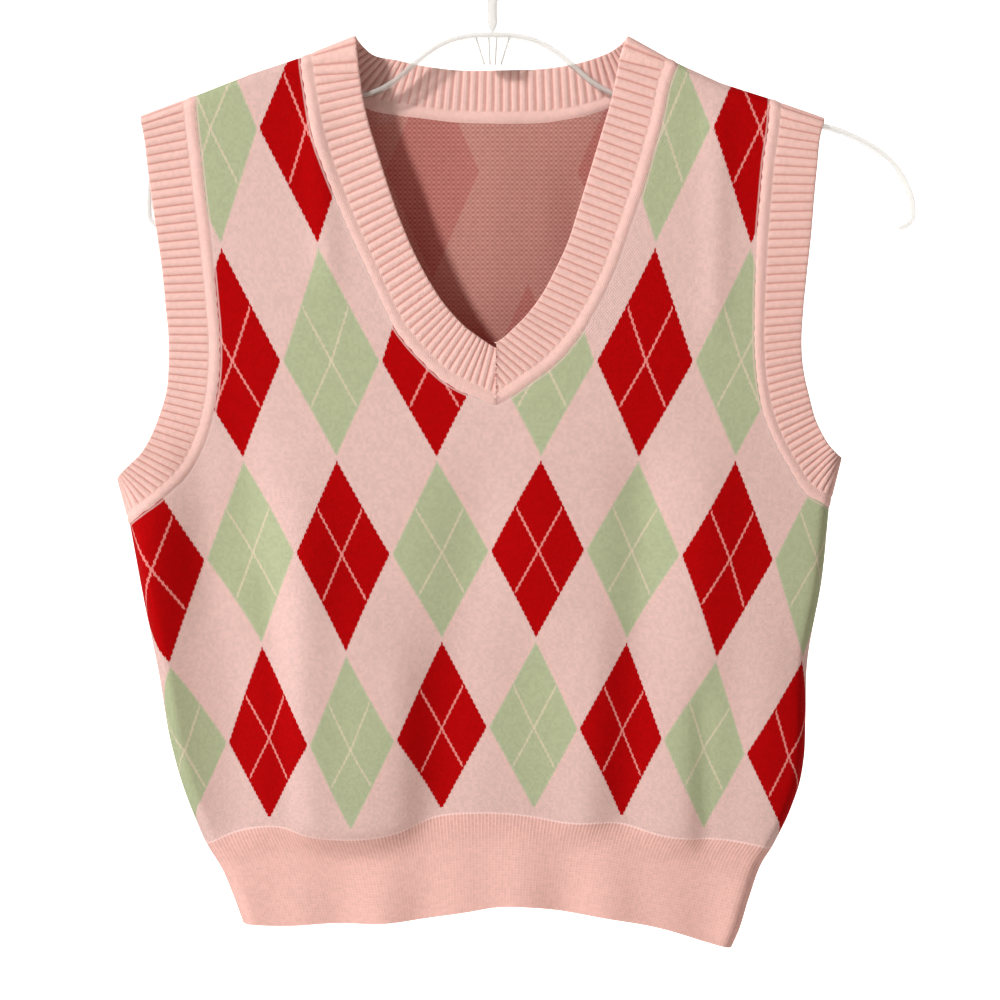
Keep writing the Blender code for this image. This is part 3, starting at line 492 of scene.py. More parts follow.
# Middle of each column of diamonds, by row: the cloth spreads at the V and draws in at the hem.
FRONT_COLUMNS = (
    # row, then x of columns 0 to 7
    (1.0, -213, -158.5, -104.5, -50, 43, 96.5, 150, 204),
    (2.0, -200, -145.5, -90, -34, 28.5, 85.5, 139, 193),
    (3.0, -189.5, -134, -84, -28.5, 25.5, 77.5, 132, 181.5),
    (4.0, -172, -124.5, -78.5, -28.5, 23, 72, 117.5, 165),
)
BACK_COLUMNS = (
    (1.0, -198, -144, -89, -34.5, 20.5, 75, 130, 184),
    (3.0, -191, -138, -86, -33.5, 19, 71.5, 124, 177),
    (4.0, -176, -126, -78, -29.5, 19, 67, 115, 165),
)
# Height of each row's level in columns 0 to 7; whole levels are middles, halves are tips.
FRONT_LEVELS = (
    (0.5, -74, -74, -74, -74, -74, -74, -74, -74),
    (1.0, -139.5, -139.5, -139.5, -139.5, -139.5, -139, -139, -139),
    (1.5, -205.5, -205.5, -205.5, -205.5, -205.5, -205.5, -205.5, -205.5),
    (2.0, -270.5, -270.5, -270.5, -270.5, -270.5, -270.5, -270.5, -270.5),
    (2.5, -327, -325, -325, -325, -325, -325, -325, -325),
    (3.0, -387, -377.5, -378.5, -377.5, -376, -376.5, -381, -381.5),
    (3.5, -439.5, -429, -433, -426, -425.5, -426.5, -436.5, -437),
    (4.0, -488, -481, -486.5, -475.5, -475, -476.5, -486.5, -491.5),
    (4.5, -536.5, -527, -532, -522, -521.5, -526.5, -533, -541),
)
BACK_DROP = 22.0  # the back's rows lie this much lower than the front's at the first row
FIRST_ROW_Z, LAST_ROW_Z = -140.0, -536.0  # and are level with them at the hem
ARC_STEPS = 24  # of an arc whose length is taken
LATTICE_ROUNDS = 3


def laid_flat(away, radius, reach):
    """Extra length of cloth round a fold, at a distance from it: elliptic arc less its width."""
    start = np.arccos(1.0 - np.clip(away / radius, 0.0, 1.0))[:, None]
    angle = start + (0.5 * np.pi - start) * (np.arange(ARC_STEPS) + 0.5) / ARC_STEPS
    arc = np.hypot(radius * np.sin(angle), reach[:, None] * np.cos(angle)).mean(axis=1)
    return arc * (0.5 * np.pi - start[:, 0]) - np.clip(radius - away, 0.0, radius)


def lattice(x, z, side):
    """Column and row of the argyle at a place on a panel, whole numbers in a diamond's middle.

    Columns are read across between the column lines of the two nearest rows, and rows are read up
    between the levels at that column, in LATTICE_ROUNDS from a first guess.  Round the folds the
    place is taken as if the cloth were laid flat.
    """
    reach = depth(x, z, side)
    over = laid_flat(shoulder_z(x) - z, SHOULDER_RADIUS, reach)
    ends = [laid_flat(hand * (side_x(z, hand) - x), SIDE_RADIUS, reach) for hand in (-1, 1)]
    x, z = x + ends[1] - ends[0], z + over
    columns = np.array(FRONT_COLUMNS if side == "front" else BACK_COLUMNS, float)
    levels = np.array(FRONT_LEVELS, float)
    height = z
    if side == "back":
        height = z + BACK_DROP * (z - LAST_ROW_Z) / (FIRST_ROW_Z - LAST_ROW_Z)
    whole = np.arange(8.0)
    row = np.interp(-height, -levels[:, 1:].mean(axis=1), levels[:, 0])
    for _ in range(LATTICE_ROUNDS):
        by_row = np.stack([smooth(np.column_stack((line[1:], whole)), x) for line in columns])
        column = blend_rows(columns[:, 0], by_row, row)
        by_level = np.stack([smooth(np.column_stack((whole, line[1:])), column) for line in levels])
        row = level_between(levels[:, 0], by_level, height)
    return column + (0.0 if side == "front" else 1.0), row


def blend_rows(known, values, at):
    """For each point, the value at its own place among the known rows, straight between them."""
    at = np.clip(at, known[0], known[-1])
    index = np.clip(np.searchsorted(known, at, side="right") - 1, 0, len(known) - 2)
    part = (at - known[index]) / (known[index + 1] - known[index])
    here = np.arange(len(at))
    return values[index, here] * (1.0 - part) + values[index + 1, here] * part


def level_between(known, heights, at):
    """For each point, the level whose height it has; heights fall as levels rise."""
    index = np.clip(np.sum(heights > at, axis=0) - 1, 0, len(known) - 2)
    here = np.arange(len(at))
    top, low = heights[index, here], heights[index + 1, here]
    return known[index] + (known[index + 1] - known[index]) * (top - at) / (top - low)


SEAM_STRIDE = 4  # of a seam's fine points, which ones distances are taken from


def seam_distance(points):
    """For the front and the back, distance in x and z to the nearest neck or armhole seam."""
    away = []
    for piece in ("left", "right", "front left", "front right", "back left", "back right"):
        seam = band_line(piece)[::SEAM_STRIDE, :2]
        gaps = points[:, None, ::2] - seam[None]
        away.append(np.hypot(gaps[..., 0], gaps[..., 1]).min(axis=1))
    return np.min(away[:4], axis=0), np.min(away[:2] + away[4:], axis=0)


PUCKER = 0.16  # height of the small ripples that linking leaves beside a seam
PUCKER_LENGTH = 6.5  # from one ripple to the next
PUCKER_REACH = 7.0  # over which they die away


def panel(side):
    """Front or back: two halves that share the middle line up to the start of the neck."""
    halves = [half_panel(side, hand) for hand in (-1, 1)]
    slit_row = halves[0][1]
    first = numbered(halves[0][0])
    second = first + first.size
    second[: slit_row + 1, -1] = first[: slit_row + 1, -1]
    quads = np.concatenate((grid_quads(first), grid_quads(second)[:, ::-1]))
    points = np.concatenate([grid.reshape(-1, 3) for grid, _ in halves])
    used, quads = np.unique(quads, return_inverse=True)
    points, quads = points[used], quads.reshape(-1, 4)
    normal = normals(points, side)
    from_seam = seam_distance(points)[0 if side == "front" else 1]
    ripple = np.sin(2 * np.pi * points[:, 2] / PUCKER_LENGTH) * np.exp(-from_seam / PUCKER_REACH)
    ripple = PUCKER * ripple * folded(points[:, 0], points[:, 2])
    middle = points + ripple[:, None] * normal
    column, row = lattice(points[:, 0], points[:, 2], side)
    uv = np.column_stack((column * WALES, -row * COURSES))
    return cloth_wall(side + "_knit", middle, normal, quads, BODY_WALL, uv, {"from_seam": from_seam})


def add(tree, kind, *inputs, output=0, named=(), **settings):
    """Adds one shader node with its settings and inputs, values or links, and gives an output."""
    node = tree.nodes.new("ShaderNode" + kind)
    for key, value in settings.items():
        setattr(node, key, value)
    for key, value in list(enumerate(inputs)) + list(dict(named).items()):
        if isinstance(value, bpy.types.NodeSocket):
            tree.links.new(value, node.inputs[key])
        elif value is not None:
            node.inputs[key].default_value = value
    return node.outputs[output] if node.outputs else node


def maths(tree, operation, *inputs):
    """Adds one Math node."""
    return add(tree, "Math", *inputs, operation=operation)


def distance(tree, first, second):
    """How far two values are apart."""
    return maths(tree, "ABSOLUTE", maths(tree, "SUBTRACT", first, second))


def cosine(tree, turns, size, middle):
    """middle + size * cos(2 pi turns)."""
    angle = maths(tree, "MULTIPLY", turns, 2 * np.pi)
    return maths(tree, "MULTIPLY_ADD", maths(tree, "COSINE", angle), size, middle)


def scaled(tree, colour, factor):
    """A colour times a factor."""
    return add(tree, "VectorMath", colour, named={"Scale": factor}, operation="SCALE")


def mixed(tree, factor, first, second):
    """Two colours mixed, the first at factor 0 and the second at 1."""
    return add(tree, "Mix", factor, named={6: first, 7: second}, output=2, data_type="RGBA")


def attribute(tree, name):
    """A value that the mesh keeps for each point."""
    return add(tree, "Attribute", attribute_name=name, output=2)


def stitch_places(tree):
    """Wales and courses, the two parts of the map "stitches"."""
    wales = add(tree, "SeparateXYZ", add(tree, "UVMap", uv_map="stitches"))
    return wales, wales.node.outputs[1]


def linear(colour):
    """Linear RGBA of an sRGB hex colour."""
    parts = np.array([int(colour[k : k + 2], 16) for k in (1, 3, 5)]) / 255.0
    parts = np.where(parts <= 0.04045, parts / 12.92, ((parts + 0.055) / 1.055) ** 2.4)
    return (*parts.tolist(), 1.0)


def empty_material(name):
    """A named material and its emptied node tree."""
    made = bpy.data.materials.new(name)
    made.use_nodes = True
    made.node_tree.nodes.clear()
    return made, made.node_tree


WALE_EDGE = 5.0  # how narrow the groove between two wales is
WALE_DROP = 0.7  # part of the height that it takes
PAINTED_STITCH_SHADE = (0.9, 1.03)  # painted shade: the colour's factor down between the stitches, and a slight painted highlight up on them
YARN_IOR = 1.5
YARN_GLOSS = 0.04


def stitch_relief(tree, wales, courses):
    """Height from 0 to 1 of plain knitting: each wale's two legs climb outwards by one course.

    across is 0 in the middle of a wale and 1 between wales; height is a bell over each course of
    courses - across, lowered between the wales.
    """
    off_middle = distance(tree, maths(tree, "FRACT", wales), 0.5)
    across = maths(tree, "MULTIPLY", off_middle, 2.0)
    leg = cosine(tree, maths(tree, "SUBTRACT", courses, across), 0.5, 0.5)
    edge = maths(tree, "POWER", across, WALE_EDGE)
    edge = maths(tree, "MULTIPLY_ADD", edge, -WALE_DROP, 1.0)
    return maths(tree, "MULTIPLY", leg, edge)


def heathered(tree, colour, wales, courses, spread):
    """The colour a little darker or paler from stitch to stitch, as yarn is in heathered cotton."""
    column = maths(tree, "FLOOR", wales)
    row = maths(tree, "FLOOR", courses)
    place = add(tree, "CombineXYZ", column, row)
    chance = add(tree, "TexWhiteNoise", place, noise_dimensions="2D")
    tone = add(tree, "MapRange", chance, 0.0, 1.0, 1.0 - spread, 1.0 + spread)
    return scaled(tree, colour, tone)


def knit_finish(tree, colour, height, relief, roughness):
    """Matt cotton yarn: the colour with painted shade down between the stitches and a slight painted
    highlight on them, and the relief.
    """
    # painted shade and highlight: the colour follows the relief's height
    shade = add(tree, "MapRange", height, 0.0, 1.0, *PAINTED_STITCH_SHADE)
    finish = {"Base Color": scaled(tree, colour, shade), "Roughness": roughness, "IOR": YARN_IOR}
    finish["Specular IOR Level"] = YARN_GLOSS
    bump = {"Strength": 1.0, "Distance": relief * MM, "Height": height}
    finish["Normal"] = add(tree, "Bump", named=bump)
    surface = add(tree, "BsdfPrincipled", named=finish)
    add(tree, "OutputMaterial", surface)
    return surface.node


GROUND_PINK = "#F1CAC2"
DIAMOND_RED = "#BC0508"
DIAMOND_GREEN = "#BEC59D"
LINE_ON_RED = "#F4958D"
LINE_ON_GREEN = "#E0D4B8"
EDGE_OF_GREEN = "#DCCDB4"
LINK_PINK = "#F6D3CC"
DIAMOND_SIZE = 0.489  # half a cell is 0.5, so that tips of neighbours stay two courses apart
LINE_REACH = 0.462  # the crossing lines stop just inside the diamond
LAST_LEVEL = 4.48  # the argyle ends with its fourth row
STITCH_RISE = 0.8
LINE_WIDTH = 0.84  # in wales
OUTLINE = 0.02  # part of a cell over which a green diamond's rim is paler
FACE_VARIES = 0.055  # how much its yarn's tone differs between stitches, either way
SEAM_SHADOW = (0.6, 1.7, 0.88)  # distances from a seam where it is full and gone, and its tone
LINK_LINE = 1.6  # the linking stitches' distance from the seam
LINK_HALF = (0.25, 0.7)  # half their width, where they are full and gone
LINK_SHOWS = 0.6
FACE_RELIEF = 0.28
YARN_ROUGH = 0.95


def argyle_places(tree):
    """Wales, courses, and the masks diamond, crossing line, red and outline.

    A diamond is where |column off| + |row off| < its size, with the row read course by course, so
    that the outline steps from one course to the next.  A stitch is a V, so that a course stands
    STITCH_RISE higher between two wales than in the middle of one.
    """
    wales, courses = stitch_places(tree)
    leg = maths(tree, "PINGPONG", wales, 0.5)
    course = maths(tree, "MULTIPLY_ADD", leg, 2.0 * STITCH_RISE, courses)
    course = maths(tree, "FLOOR", course)
    course = maths(tree, "ADD", course, 0.5)
    wholes, offs = [], []
    for value, repeat in ((wales, WALES), (course, COURSES)):
        place = maths(tree, "DIVIDE", value, repeat)
        wholes.append(maths(tree, "ROUND", place))
        offs.append(distance(tree, place, wholes[-1]))
    total = maths(tree, "ADD", *offs)
    diamond = maths(tree, "LESS_THAN", total, DIAMOND_SIZE)
    knitted = maths(tree, "GREATER_THAN", courses, -LAST_LEVEL * COURSES)
    diamond = maths(tree, "MULTIPLY", diamond, knitted)
    line = maths(tree, "LESS_THAN", distance(tree, *offs), 0.5 * LINE_WIDTH / WALES)
    inside = maths(tree, "LESS_THAN", total, LINE_REACH)
    line = maths(tree, "MULTIPLY", line, inside)
    red = maths(tree, "PINGPONG", maths(tree, "ADD", *wholes), 1.0)
    outline = add(tree, "MapRange", total, DIAMOND_SIZE - OUTLINE, DIAMOND_SIZE, 0.0, 1.0)
    return wales, courses, diamond, line, red, outline


def jacquard():
    """Outside of the body: heathered pink ground, red and green diamonds, fine crossing lines."""
    material, tree = empty_material("cotton jacquard, argyle face")
    wales, courses, diamond, line, red, outline = argyle_places(tree)
    green = mixed(tree, outline, linear(DIAMOND_GREEN), linear(EDGE_OF_GREEN))
    fill = mixed(tree, red, green, linear(DIAMOND_RED))
    thread = mixed(tree, red, linear(LINE_ON_GREEN), linear(LINE_ON_RED))
    fill = mixed(tree, line, fill, thread)
    colour = mixed(tree, diamond, linear(GROUND_PINK), fill)
    colour = heathered(tree, colour, wales, courses, FACE_VARIES)
    seam = attribute(tree, "from_seam")
    shade = add(tree, "MapRange", seam, *SEAM_SHADOW, 1.0, interpolation_type="SMOOTHSTEP")
    colour = scaled(tree, colour, shade)
    link = add(tree, "MapRange", distance(tree, seam, LINK_LINE), *LINK_HALF, LINK_SHOWS, 0.0)
    colour = mixed(tree, link, colour, linear(LINK_PINK))
    height = stitch_relief(tree, wales, courses)
    knit_finish(tree, colour, height, FACE_RELIEF, YARN_ROUGH)
    return material


BACKING_LIGHT = "#CC9F95"
BACKING_DARK = "#A96D61"
BACKING_RED_LIGHT = "#C48C83"
BACKING_RED_DARK = "#A05952"
BACKING_PITCH = (1.096, 1.297)  # a backing stitch's rate to a wale and to a course of the face
PAINTED_GLOW_COLOUR = (1.0, 0.03, 0.01, 1.0)  # painted light: the inside glows faint red, standing in for light that the red yarns let through from outside
PAINTED_GLOW_STRENGTH = 0.05
CHECK_SIZE, CHECK_MIDDLE = 0.8, 0.3  # of the check's wave from wale to wale
BACK_VARIES = 0.05
BACK_RELIEF = 0.2


def birdseye():
    """Inside of the body: the resting yarns come up in turn, a fine check of dusty rose, with a faint
    painted red glow.

    Dark yarn shows by sin(pi course) * (size * sin(pi wale) + middle), from none at -1 to all at 1.
    """
    material, tree = empty_material("cotton jacquard, birdseye back")
    wales, courses, diamond, _, red, _ = argyle_places(tree)
    waves = []
    for value, rate in zip((wales, courses), BACKING_PITCH):
        turn = maths(tree, "MULTIPLY", value, np.pi * rate)
        waves.append(maths(tree, "SINE", turn))
    check = maths(tree, "MULTIPLY_ADD", waves[0], CHECK_SIZE, CHECK_MIDDLE)
    check = maths(tree, "MULTIPLY", check, waves[1])
    check = add(tree, "MapRange", check, -1.0, 1.0, 0.0, 1.0)
    plain = mixed(tree, check, linear(BACKING_LIGHT), linear(BACKING_DARK))
    redder = mixed(tree, check, linear(BACKING_RED_LIGHT), linear(BACKING_RED_DARK))
    on_red = maths(tree, "MULTIPLY", diamond, red)
    colour = mixed(tree, on_red, plain, redder)
    colour = heathered(tree, colour, wales, courses, BACK_VARIES)
    height = stitch_relief(tree, wales, courses)
    finish = knit_finish(tree, colour, height, BACK_RELIEF, YARN_ROUGH)
    # painted light: a faint red glow over the whole inside
    finish.inputs["Emission Color"].default_value = PAINTED_GLOW_COLOUR
    finish.inputs["Emission Strength"].default_value = PAINTED_GLOW_STRENGTH
    return material


argyle_face = jacquard()
argyle_back = birdseye()
for side, area in (("front", 0.128), ("back", 0.140)):
    knit = panel(side)
    knit.data.materials.append(argyle_face)
    knit.data.materials.append(argyle_back)
    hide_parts(side + "_panel")
    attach(knit, "root")


# ---------------------------------------------------------------------------------------------
# Hem rib.  A strip of fine one-by-one rib for each side, knitted on from the body and tighter
# than it.  Its top course stands up as a thin pale line, and its cast-off edge is soft and round.
# ---------------------------------------------------------------------------------------------

HEM_WALL = 1.9
HEM_ROWS = 34
HEM_RIB = 2.0  # one raised and one sunk wale
HEM_COURSE = 1.5
HEM_PINK = "#E6B7AD"
HEM_GROOVE_SHADE = "#DAA499"
HEM_LIP = 0.8  # how strongly the raised course along the seam shows
HEM_LIP_WIDTH = 0.55
HEM_LIP_DOWN = 0.9  # its middle below the strip's top
HEM_TOP = (-0.012, 0.0, 0.012, 0.024)  # rows close to the seam, as parts of the way down
HEM_FROM = 0.04  # where the even rows start
# The grooves show most at the top, in relief and in painted shade: down from and to, and the least ridge
# left there.
GROOVES_OPEN = (2.0, 20.0, 0.3, 0.75)
HEM_BEAT = 0.12  # part of a ridge's height that its courses take
HEM_VARIES = 0.05
HEM_RELIEF = 0.16


def hem(side):
    """Strip from the body's seam to its own free edge; its rows are a part of the way down."""
    seam = FRONT_HEM_SEAM if side == "front" else BACK_HEM_SEAM
    edge = FRONT_HEM_EDGE if side == "front" else BACK_HEM_EDGE
    rows = np.concatenate((HEM_TOP, np.linspace(HEM_FROM, 1.0, HEM_ROWS)))[:, None]
    left_z = seam[0][1] + rows * (edge[0][1] - seam[0][1])
    right_z = seam[-1][1] + rows * (edge[-1][1] - seam[-1][1])
    left, right = side_x(left_z, -1), side_x(right_z, 1)
    near = SIDE_RADIUS * np.array(FOLD_STEPS)
    even = np.linspace(0.0, 1.0, COLUMNS + 1)[None, :]
    to_middle = left + SIDE_RADIUS + (MIDDLE_X - left - SIDE_RADIUS) * even
    from_middle = MIDDLE_X + (right - SIDE_RADIUS - MIDDLE_X) * even[:, 1:]
    x = np.concatenate((left + near, to_middle, from_middle, right - near[::-1]), axis=1)
    top = smooth(seam, x[1])
    z = top + rows * (smooth(edge, x[-1]) - top)
    z[:, :1], z[:, -1:] = left_z, right_z
    grid = np.stack((x, sheet(x, z, side), z), axis=-1)
    normal = normals(grid, side)
    along = running(np.linalg.norm(np.diff(grid[0], axis=0), axis=1))
    down = (rows - rows[0]) * np.abs(top - smooth(edge, x[-1])).mean() + 0.0 * x
    uv = np.stack((np.broadcast_to(along / HEM_RIB, x.shape), -down / HEM_COURSE), axis=-1)
    quads = grid_quads(numbered(grid))
    flat, out, below = grid.reshape(-1, 3), normal.reshape(-1, 3), {"below": down.ravel()}
    return cloth_wall("hem_" + side + "_rib", flat, out, quads, HEM_WALL, uv.reshape(-1, 2), below)


def hem_rib():
    """Fine rib: a rounded ridge for each raised wale, with painted shade of deeper pink in the groove
    between.
    """
    material, tree = empty_material("cotton one-by-one rib")
    ribs, courses = stitch_places(tree)
    below = attribute(tree, "below")
    least = add(tree, "MapRange", below, *GROOVES_OPEN)
    ridge = maths(tree, "MAXIMUM", cosine(tree, ribs, 0.5, 0.5), least)
    height = maths(tree, "MULTIPLY", ridge, cosine(tree, courses, HEM_BEAT, 1.0 - HEM_BEAT))
    # painted shade: the grooves take the deeper pink
    colour = mixed(tree, ridge, linear(HEM_GROOVE_SHADE), linear(HEM_PINK))
    colour = heathered(tree, colour, ribs, courses, HEM_VARIES)
    off_lip = distance(tree, below, HEM_LIP_DOWN)
    lip = add(tree, "MapRange", off_lip, 0.5 * HEM_LIP_WIDTH, 1.5 * HEM_LIP_WIDTH, HEM_LIP, 0.0)
    colour = mixed(tree, lip, colour, linear(LINK_PINK))
    knit_finish(tree, colour, height, HEM_RELIEF, YARN_ROUGH)
    return material


fine_rib = hem_rib()
for side in ("front", "back"):
    rib = hem(side)
    rib.data.materials.append(fine_rib)
    rib.data.materials.append(fine_rib)
    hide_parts("hem_" + side)
    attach(rib, "root")


# ---------------------------------------------------------------------------------------------
# Neckband and armbands.  Strips of wide rib, three wales to a rib, linked on with a plain tubular
# roll that takes in the panel's edge.  The neckband's two ends are mitred at the point of the V.
# ---------------------------------------------------------------------------------------------

BAND_WALL = 1.8
# One wide rib and its narrow groove, at a stretch's low end and at the shoulder, where the weight
# of the vest draws the ribs apart: of the neck's front and back, and of the left and right armhole.
RIB_PITCH = {
    "front": (4.3, 5.65),
    "back": (4.8, 5.3),
    "left": (4.45, 5.3),
    "right": (4.0, 5.6),
}
RIB_PARTS = (0.0, 0.04, 0.09, 0.15, 0.22, 0.32, 0.5, 0.68, 0.78, 0.85, 0.91, 0.96)
RIB_HIGH = 0.4  # over the wall
RIB_LOW = 0.35  # a groove's depth under it
RIB_POWER = 4.0  # how narrow the grooves are
GROOVE_SHADE_WIDTH = 0.11  # in ribs, of the painted shade in a groove
BAND_PINK = "#F9CCC2"
BAND_GROOVE_SHADE = "#DF9E93"
MITRE_X = 2.0
MITRE_GAP = 0.15  # between the band's two ends
MITRE_LEAST = 0.15  # how near the seam the mitre may cut a rib
# The bands' lines as parts of the way from the free edge to the seam: the rounded edge with its
# share of the wall, the ribs, and the roll.
EDGE_ROUND = ((0.0, 0.0), (0.006, 0.5), (0.018, 0.85), (0.04, 1.0))
RIB_ROWS = (0.1, 0.22, 0.34, 0.46, 0.58, 0.7, 0.765, 0.785, 0.8, 0.812, 0.824)
ROLL_ROWS = (0.84, 0.856, 0.873, 0.891, 0.91, 0.929, 0.948, 0.966, 0.983, 0.999, 1.013, 1.025, 1.033)
PITCH_PART = 0.8  # of the way, the line on which the ribs are counted
ROLL_START = 0.812
ROLL_END = 1.037
ROLL_HEIGHT = 0.85
FOLD_ROLL = 0.3  # part of that height that is left on a fold
ROLL_LEAN = 1.15  # puts its crest nearer the panel
RIBS_FADE = 0.035  # part of the way over which the ribs die into the roll
SLOT_PART = 0.99  # the roll holds the panel's edge in a slot that ends at this part of the way
SLOT_HALF = 1.03  # half the slot's width
BAND_WALES = 3.0  # to a rib and its groove
BAND_VARIES = 0.045
BAND_RELIEF = 0.22
BAND_ROUGH = 0.85


def eased_steps(piece):
    """Steps from 0 to 1 along a stretch, closer together towards each end that lies on a fold."""
    even = np.linspace(0.0, 1.0, LINE_STEPS)
    if piece in ("left", "right"):
        return 0.5 - 0.5 * np.cos(np.pi * even)
    return np.sin(0.5 * np.pi * even)


def band_stretch(piece, side, upwards):
    """Seam points, unit steps from seam to free edge, and widths, full and cut, of one stretch."""
    line = band_line(piece)
    known = line_lengths(line[:, :2])
    at = eased_steps(piece) * known[-1]
    seam, edge = read_line(at, known, line[:, :2]), read_line(at, known, line[:, 2:])
    width = np.linalg.norm(edge - seam, axis=1)
    toward = (edge - seam) / width[:, None]
    cut = width.copy()
    if piece.startswith("front"):
        hand = 1 if piece == "front right" else -1
        stop = MITRE_X + hand * 0.5 * MITRE_GAP
        past = (edge[:, 0] - stop) * hand < 0
        reach = (stop - seam[:, 0]) / np.where(past, toward[:, 0], 1.0)
        cut = np.where(past, np.clip(reach, MITRE_LEAST, width), width)
    order = slice(None) if upwards else slice(None, None, -1)
    fold_ends = np.zeros(len(at), bool)
    fold_ends[-1] = True
    fold_ends[0] = piece in ("left", "right")
    return [values[order] for values in (seam, toward, width, cut, fold_ends)]


def band_points(stretches, parts):
    """Places and normals of the band's middle surface, one dense line for each of parts."""
    placed, outward = [], []
    for piece, side, upwards in stretches:
        seam, toward, width, cut, fold_ends = band_stretch(piece, side, upwards)
        made = []
        for part in parts:
            out = np.minimum((1.0 - part) * width, cut)
            x, z = (seam + toward * out[:, None]).T
            y = np.where(fold_ends, 0.0, sheet(x, z, side, gap=0.0))
            made.append(np.column_stack((x, y, z)))
        made = np.stack(made)
        placed.append(made)
        outward.append(normals(made, side, gap=0.0))
    return [
        np.concatenate([found[0]] + [line[:, 1:] for line in found[1:]], axis=1)
        for found in (placed, outward)
    ]


def ring_quads(index):
    """Quads over rows of point numbers, each of which closes on its own first point."""
    return grid_quads(np.concatenate((index, index[:, :1]), axis=1))


def roll_height(parts):
    """Round rise of the tubular roll, from its start to just past the seam."""
    across = np.clip((parts - ROLL_START) / (ROLL_END - ROLL_START), 0.0, 1.0)
    return ROLL_HEIGHT * np.maximum(np.sin(np.pi * across**ROLL_LEAN), 0.0)


def flattened(x, z):
    """Part of the roll's height that is left where the weight of the vest presses a fold flat."""
    return FOLD_ROLL + (1.0 - FOLD_ROLL) * folded(x, z)


def rib_pitches(stretches):
    """Width of a rib at each dense step of a band, from its stretches' ends."""
    found = []
    for piece, _, upwards in stretches:
        low, high = RIB_PITCH[piece.split()[0]]
        eased = eased_steps(piece)
        pitch = low + (high - low) * 0.5 * (eased[1:] + eased[:-1])
        found.append(pitch if upwards else pitch[::-1])
    return np.concatenate(found)


def ribbed_band(name, stretches, closed):
    """A band with rounded ribs on both faces: a closed profile carried along it, rib by rib.

    A rib rises by 1 - cos(pi part)^RIB_POWER from its groove, and the inside's lie half a rib on.
    """
    edge_parts, edge_rise = np.array(EDGE_ROUND).T
    face_parts = np.concatenate((edge_parts, RIB_ROWS, ROLL_ROWS))
    rise = np.concatenate((edge_rise, np.ones(len(RIB_ROWS) + len(ROLL_ROWS))))
    roll = roll_height(face_parts)
    ribbed = rise * np.clip((ROLL_START - face_parts) / RIBS_FADE, 0.0, 1.0)
    parts = np.concatenate((face_parts, [SLOT_PART, SLOT_PART], face_parts[:0:-1]))
    slot = np.array((SLOT_HALF, -SLOT_HALF))
    base = 0.5 * BAND_WALL
    walls = np.concatenate((base * rise, slot, -(base * rise)[:0:-1]))
    rolls = np.concatenate((roll, 0.0 * slot, -roll[:0:-1]))
    outside = np.concatenate((ribbed, 0.0 * slot, 0.0 * ribbed[:0:-1]))
    inside = np.concatenate((0.0 * ribbed, 0.0 * slot, ribbed[:0:-1]))

    dense, outward = band_points(stretches, parts)
    counted = dense[len(EDGE_ROUND) + RIB_ROWS.index(PITCH_PART)]
    steps = np.linalg.norm(np.diff(counted, axis=0), axis=1)
    run = running(steps / rib_pitches(stretches))
    ribs = int(round(run[-1]))
    count = np.append((np.arange(ribs)[:, None] + np.array(RIB_PARTS)[None, :]).ravel(), ribs)
    if closed:
        count = count[:-1]
    at = count / ribs * run[-1]
    grid, normal = [np.stack([read_line(at, run, line) for line in lines]) for lines in (dense, outward)]
    to_groove = [np.abs(count + shift - np.round(count + shift)) for shift in (0.0, 0.5)]
    rounded = [1.0 - np.cos(np.pi * away) ** RIB_POWER for away in to_groove]
    profile = [(RIB_HIGH + RIB_LOW) * part - RIB_LOW for part in rounded]
    raised = outside[:, None] * profile[0] - inside[:, None] * profile[1]
    raised += walls[:, None] + rolls[:, None] * flattened(grid[..., 0], grid[..., 2])
    points = grid + raised[..., None] * unit(normal)
    # painted shade: how much of a groove's darker colour each point takes, on whichever face is ribbed
    dark = [bell(away, GROOVE_SHADE_WIDTH) for away in to_groove]
    groove = outside[:, None] * dark[0] + inside[:, None] * dark[1]
    width = np.linalg.norm(grid[0] - grid[len(face_parts) - 1], axis=-1).mean()
    courses = parts[:, None] * width / HEM_COURSE
    uv = np.stack(np.broadcast_arrays(BAND_WALES * count[None, :], courses), axis=-1).reshape(-1, 2)

    index = numbered(points)
    index = np.concatenate((index, index[:1]), axis=0)
    quads = ring_quads(index) if closed else grid_quads(index)
    ends = [] if closed else [index[:-1, 0][::-1].tolist(), index[:-1, -1].tolist()]
    return shape(name, points.reshape(-1, 3), quads, uv, {"groove": groove.ravel()}, polygons=ends)


def wide_rib():
    """Wide rib and its plain roll: pale pink, with painted shade of deeper pink in the narrow grooves."""
    material, tree = empty_material("cotton wide rib")
    wales, courses = stitch_places(tree)
    groove = attribute(tree, "groove")
    # painted shade: the grooves take the deeper pink
    colour = mixed(tree, groove, linear(BAND_PINK), linear(BAND_GROOVE_SHADE))
    colour = heathered(tree, colour, wales, courses, BAND_VARIES)
    height = stitch_relief(tree, wales, courses)
    knit_finish(tree, colour, height, BAND_RELIEF, BAND_ROUGH)
    return material


# Overcast stitches down the mitre, from the free edges to the knot at the seam: z of both.
MITRE_TOP, MITRE_FOOT = -261.0, -291.0
MITRE_STITCHES = 9
THREAD = 0.32  # radius of the sewing yarn
THREAD_RISE = 0.75  # its middle over the band's wall
THREAD_SIDES = 8
THREAD_STEPS = 9
THREAD_DIP = 0.8  # how far the middle of the yarn comes down at a stitch's ends
THREAD_END = 1.02  # over 1, so that a stitch's ends stay a little open
STITCH_REACH = (1.15, 0.55)  # half a stitch's width and drop
KNOT_REACH = (0.9, 0.3)
KNOT_SIZE = 2.2  # to a stitch's thickness


